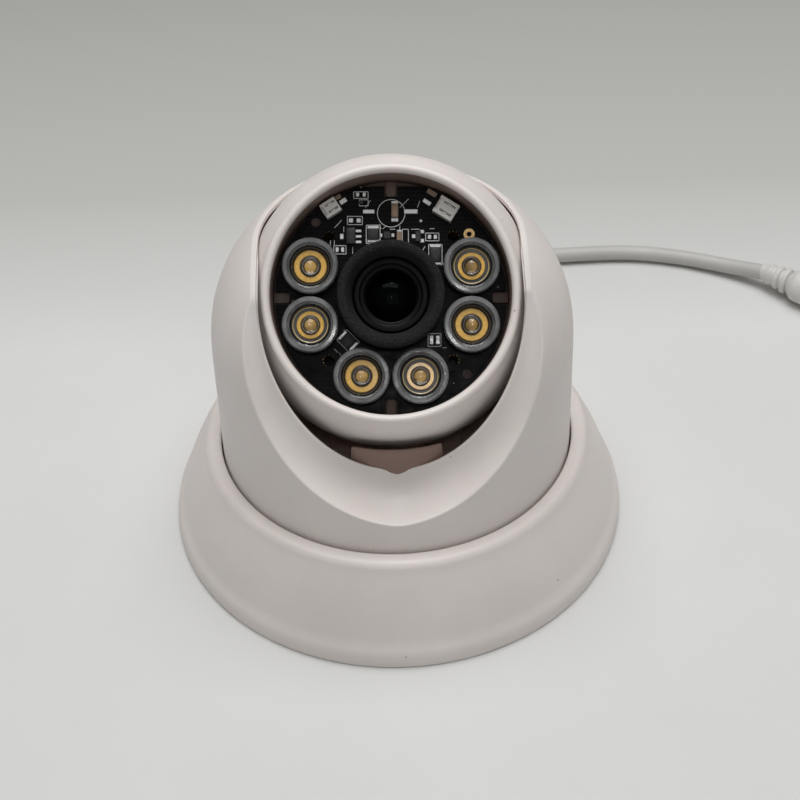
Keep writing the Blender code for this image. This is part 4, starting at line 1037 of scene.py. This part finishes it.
def make_board():
    """The black board with its printed frames, solder, pads and small components."""
    top = BOARD_TOP
    NODES["led_board"].data.materials.clear()
    NODES["led_board"].data.materials.append(MASK)

    strokes = []
    for spot in ((-6.5, 14.0, 2.7, 1.5), (-3.2, 11.5, 2.5, 3.3), (2.6, 11.1, 1.1, 2.6),
                 (7.45, 11.0, 2.4, 1.4), (8.0, 7.8, 2.4, 3.7), (-9.2, 8.7, 2.2, 1.5),
                 (-5.4, 18.6, 2.6, 1.2), (-4.9, 17.2, 1.6, 1.1)):
        strokes += frame_lines(*spot)
    strokes += frame_lines(-7.75, -7.75, 2.6, 3.2, 45.0) + frame_lines(7.8, -7.6, 2.3, 2.3)
    strokes += [(-4.1, 17.0, 0.1, 1.6, -35), (2.4, 17.1, 0.1, 2.2, -45), (5.0, 16.9, 0.1, 1.3, -20),
                (-9.3, 13.6, 1.3, 0.12, 50), (-9.9, 13.0, 0.9, 0.12, 50), (-8.5, 12.4, 0.12, 1.0, 0),
                (0.3, 12.4, 1.0, 0.12, 0), (1.6, 12.6, 0.12, 0.9, 0), (-1.9, 12.9, 0.12, 0.9, 10),
                (-1.2, 12.7, 0.7, 0.12, 40), (4.4, 12.4, 1.5, 0.12, 0), (7.4, 12.5, 0.9, 0.12, 0),
                (-10.9, 9.9, 0.12, 1.0, 0), (-10.2, 9.9, 0.12, 1.0, 0), (-6.9, 8.6, 0.12, 1.3, 0),
                (5.9, 8.9, 0.12, 1.0, -30), (-9.9, -9.5, 0.9, 0.12, -45), (-9.2, -10.1, 0.5, 0.12, -45),
                (-6.0, 7.4, 1.1, 0.12, 0), (6.0, -9.6, 0.12, 0.8, 0), (9.6, -9.0, 0.8, 0.12, 0)]
    plates("board_printed_frames", strokes, top, 0.05, 0, LEGEND)
    outline = [(2.42, top), (2.56, top), (2.56, top + 0.05), (2.42, top + 0.05)]
    ring = turned("board_printed_circle", outline, 64)
    ring.data.transform(Matrix.Translation((0.05 * MM, 15.3 * MM, 0)))
    settle(ring, "ball", LEGEND, (), BALL_FRAME)

    solder = [(-4.0, 15.6, 2.1, 0.75, 0), (3.6, 15.6, 2.5, 0.85, 0), (-7.2, 14.0, 0.8, 0.8, 0),
              (-5.8, 14.0, 0.8, 0.8, 0), (-3.2, 12.75, 2.1, 0.55, 0), (-3.2, 10.25, 2.1, 0.55, 0),
              (-8.85, 11.1, 0.7, 1.0, 0), (-5.85, 12.1, 1.1, 0.5, 0), (-5.85, 11.1, 1.1, 0.5, 0),
              (-5.85, 10.1, 1.1, 0.5, 0), (0.35, 11.3, 0.6, 0.7, 0), (-1.75, 11.3, 0.45, 0.7, 0),
              (1.5, 12.1, 0.9, 0.4, 0), (1.5, 10.1, 0.9, 0.4, 0), (4.15, 11.1, 0.8, 0.75, 0),
              (5.6, 11.95, 0.8, 0.7, 0), (5.6, 10.3, 0.8, 0.7, 0), (6.95, 11.0, 0.65, 0.8, 0),
              (8.0, 11.0, 0.65, 0.8, 0), (8.0, 9.35, 2.0, 0.5, 0), (8.0, 6.2, 2.0, 0.5, 0),
              (-9.7, 8.7, 0.6, 0.9, 0), (-8.7, 8.7, 0.6, 0.9, 0), (-8.75, -6.75, 2.0, 0.55, 45),
              (-6.75, -8.75, 2.0, 0.55, 45), (7.25, -7.6, 0.7, 1.6, 0), (8.4, -7.6, 0.7, 1.6, 0),
              (-8.6, 17.5, 1.4, 0.9, 33), (6.5, 17.3, 1.6, 0.8, -32), (0.7, 17.25, 1.3, 0.5, 0),
              (0.7, 14.1, 1.3, 0.7, 0), (-6.0, 18.7, 0.6, 0.8, 0), (-4.8, 18.7, 0.6, 0.8, 0),
              (5.4, 13.9, 0.5, 0.5, 20), (13.1, 9.3, 0.6, 0.5, 30), (-7.4, 6.6, 0.5, 0.6, 0)]
    plates("board_solder", solder, top + 0.01, 0.22, 0.09, SOLDER)

    cap = slab("board_capacitor_body", (0.7, 15.7, top + 0.1), (1.25, 2.5, 1.1), 0, 0.12)
    settle(cap, "ball", CERAMIC, ("board_capacitor",), BALL_FRAME)
    small = [(1.5, 11.1, 0.95, 1.5, 0), (7.4, 18.9, 1.9, 0.9, -32), (-9.5, 18.2, 1.1, 0.8, 33)]
    plates("board_brown_chips", small, top + 0.1, 0.45, 0.06, CERAMIC)
    chip = slab("driver_chip_body", (-7.2, 11.1, top + 0.25), (1.65, 2.9, 1.0), 0, 0.12)
    settle(chip, "ball", CHIP, ("driver_chip",), BALL_FRAME)
    for number, (x, y, wide, long, turn) in enumerate(((-3.2, 11.5, 1.9, 2.0, 0), (8.0, 7.8, 1.85, 2.6, 0),
                                                       (-7.75, -7.75, 1.9, 2.4, -45)), 1):
        body = slab(f"resistor_body_{number}", (x, y, top + 0.12), (wide, long, 0.5), turn, 0.05)
        settle(body, "ball", CHIP, (f"resistor_{number}",), BALL_FRAME)
    tiny = [(-0.7, 11.3, 1.3, 1.3, 0), (-5.4, 17.2, 0.9, 0.6, 0), (4.9, 11.1, 1.0, 1.9, 0)]
    plates("board_small_chips", tiny, top + 0.12, 0.5, 0.06, CHIP)

    pad = turned("board_test_pad", [(0.45, top), (1.0, top), (1.0, top + 0.08), (0.45, top + 0.08)], 40)
    pad.data.transform(Matrix.Translation((14.1 * MM, 11.5 * MM, 0)))
    settle(pad, "ball", GOLD, (), BALL_FRAME)


SOCKETS = (("lead_socket_left", (-10.8, 16.0), (3.1, 2.8, 2.4), 33, 0.65),
           ("lead_socket_right", (9.9, 15.8), (3.9, 3.3, 2.6), -32, 0.8))


def make_sockets():
    """Two nylon lead sockets, turned on the board, with open tops, slots and tinned pins."""
    low = BOARD_TOP + 0.15
    for node, at, size, turn, spread in SOCKETS:
        frame_here = (Matrix.Translation((at[0] * MM, at[1] * MM, low * MM))
                      @ Matrix.Rotation(math.radians(turn), 4, "Z"))
        body = slab(f"{node}_body", (0, 0, 0), size, 0, 0.12)
        pins = []
        for side in (-1, 1):
            slot = slab("slot", (0.25, side * spread, size[2] - 1.3), (size[0] * 0.62, 0.42, 2.0))
            carve(body, slot)
            pins.append(slab("pin", (0.2, side * spread, size[2] - 1.2), (0.9, 0.22, 0.9), 0, 0.04))
        mouth = slab("mouth", (-size[0] / 2, 0, size[2] * 0.45), (0.9, size[1] * 0.6, 3.0))
        carve(body, mouth)
        contacts = joined(f"{node}_pins", pins)
        settle(body, "ball", NYLON, (node,), BALL_FRAME @ frame_here)
        settle(contacts, "ball", SOLDER, (), BALL_FRAME @ frame_here)


# --- Carried-over pieces --------------------------------------------------------------------------

def finish_carried():
    """Give every piece that stays as modelled its own detailed finish."""
    looks = {
        SHADE_TINTED_INNER: ["base_plate", "turret_yoke", "tilt_cup", "cord_clip", "pan_retainer"],
        MASK: ["sensor_board"],
        NYLON: ["lead_socket_rear"],
        CHIP: ["image_sensor"],
        BARREL: ["lens_holder"],
        GLASS: ["lens_rear_glass"],
        BRASS: [f"board_spacer_{i}" for i in range(1, 5)],
        STEEL: ["pan_washer", "cover_screw_1", "cover_screw_2", "cover_screw_3", "shell_screw_1",
                "shell_screw_2", "shell_screw_3", "holder_screw_1", "holder_screw_2"],
    }
    for material, names in looks.items():
        for name in names:
            NODES[name].data.materials.clear()
            NODES[name].data.materials.append(material)


place_camera()
light_scene()
make_stage()
make_cords()
make_base_cover()
make_turret_cover()
make_guard()
make_ball_shells()
make_lens()
make_leds()
make_board()
make_sockets()
finish_carried()
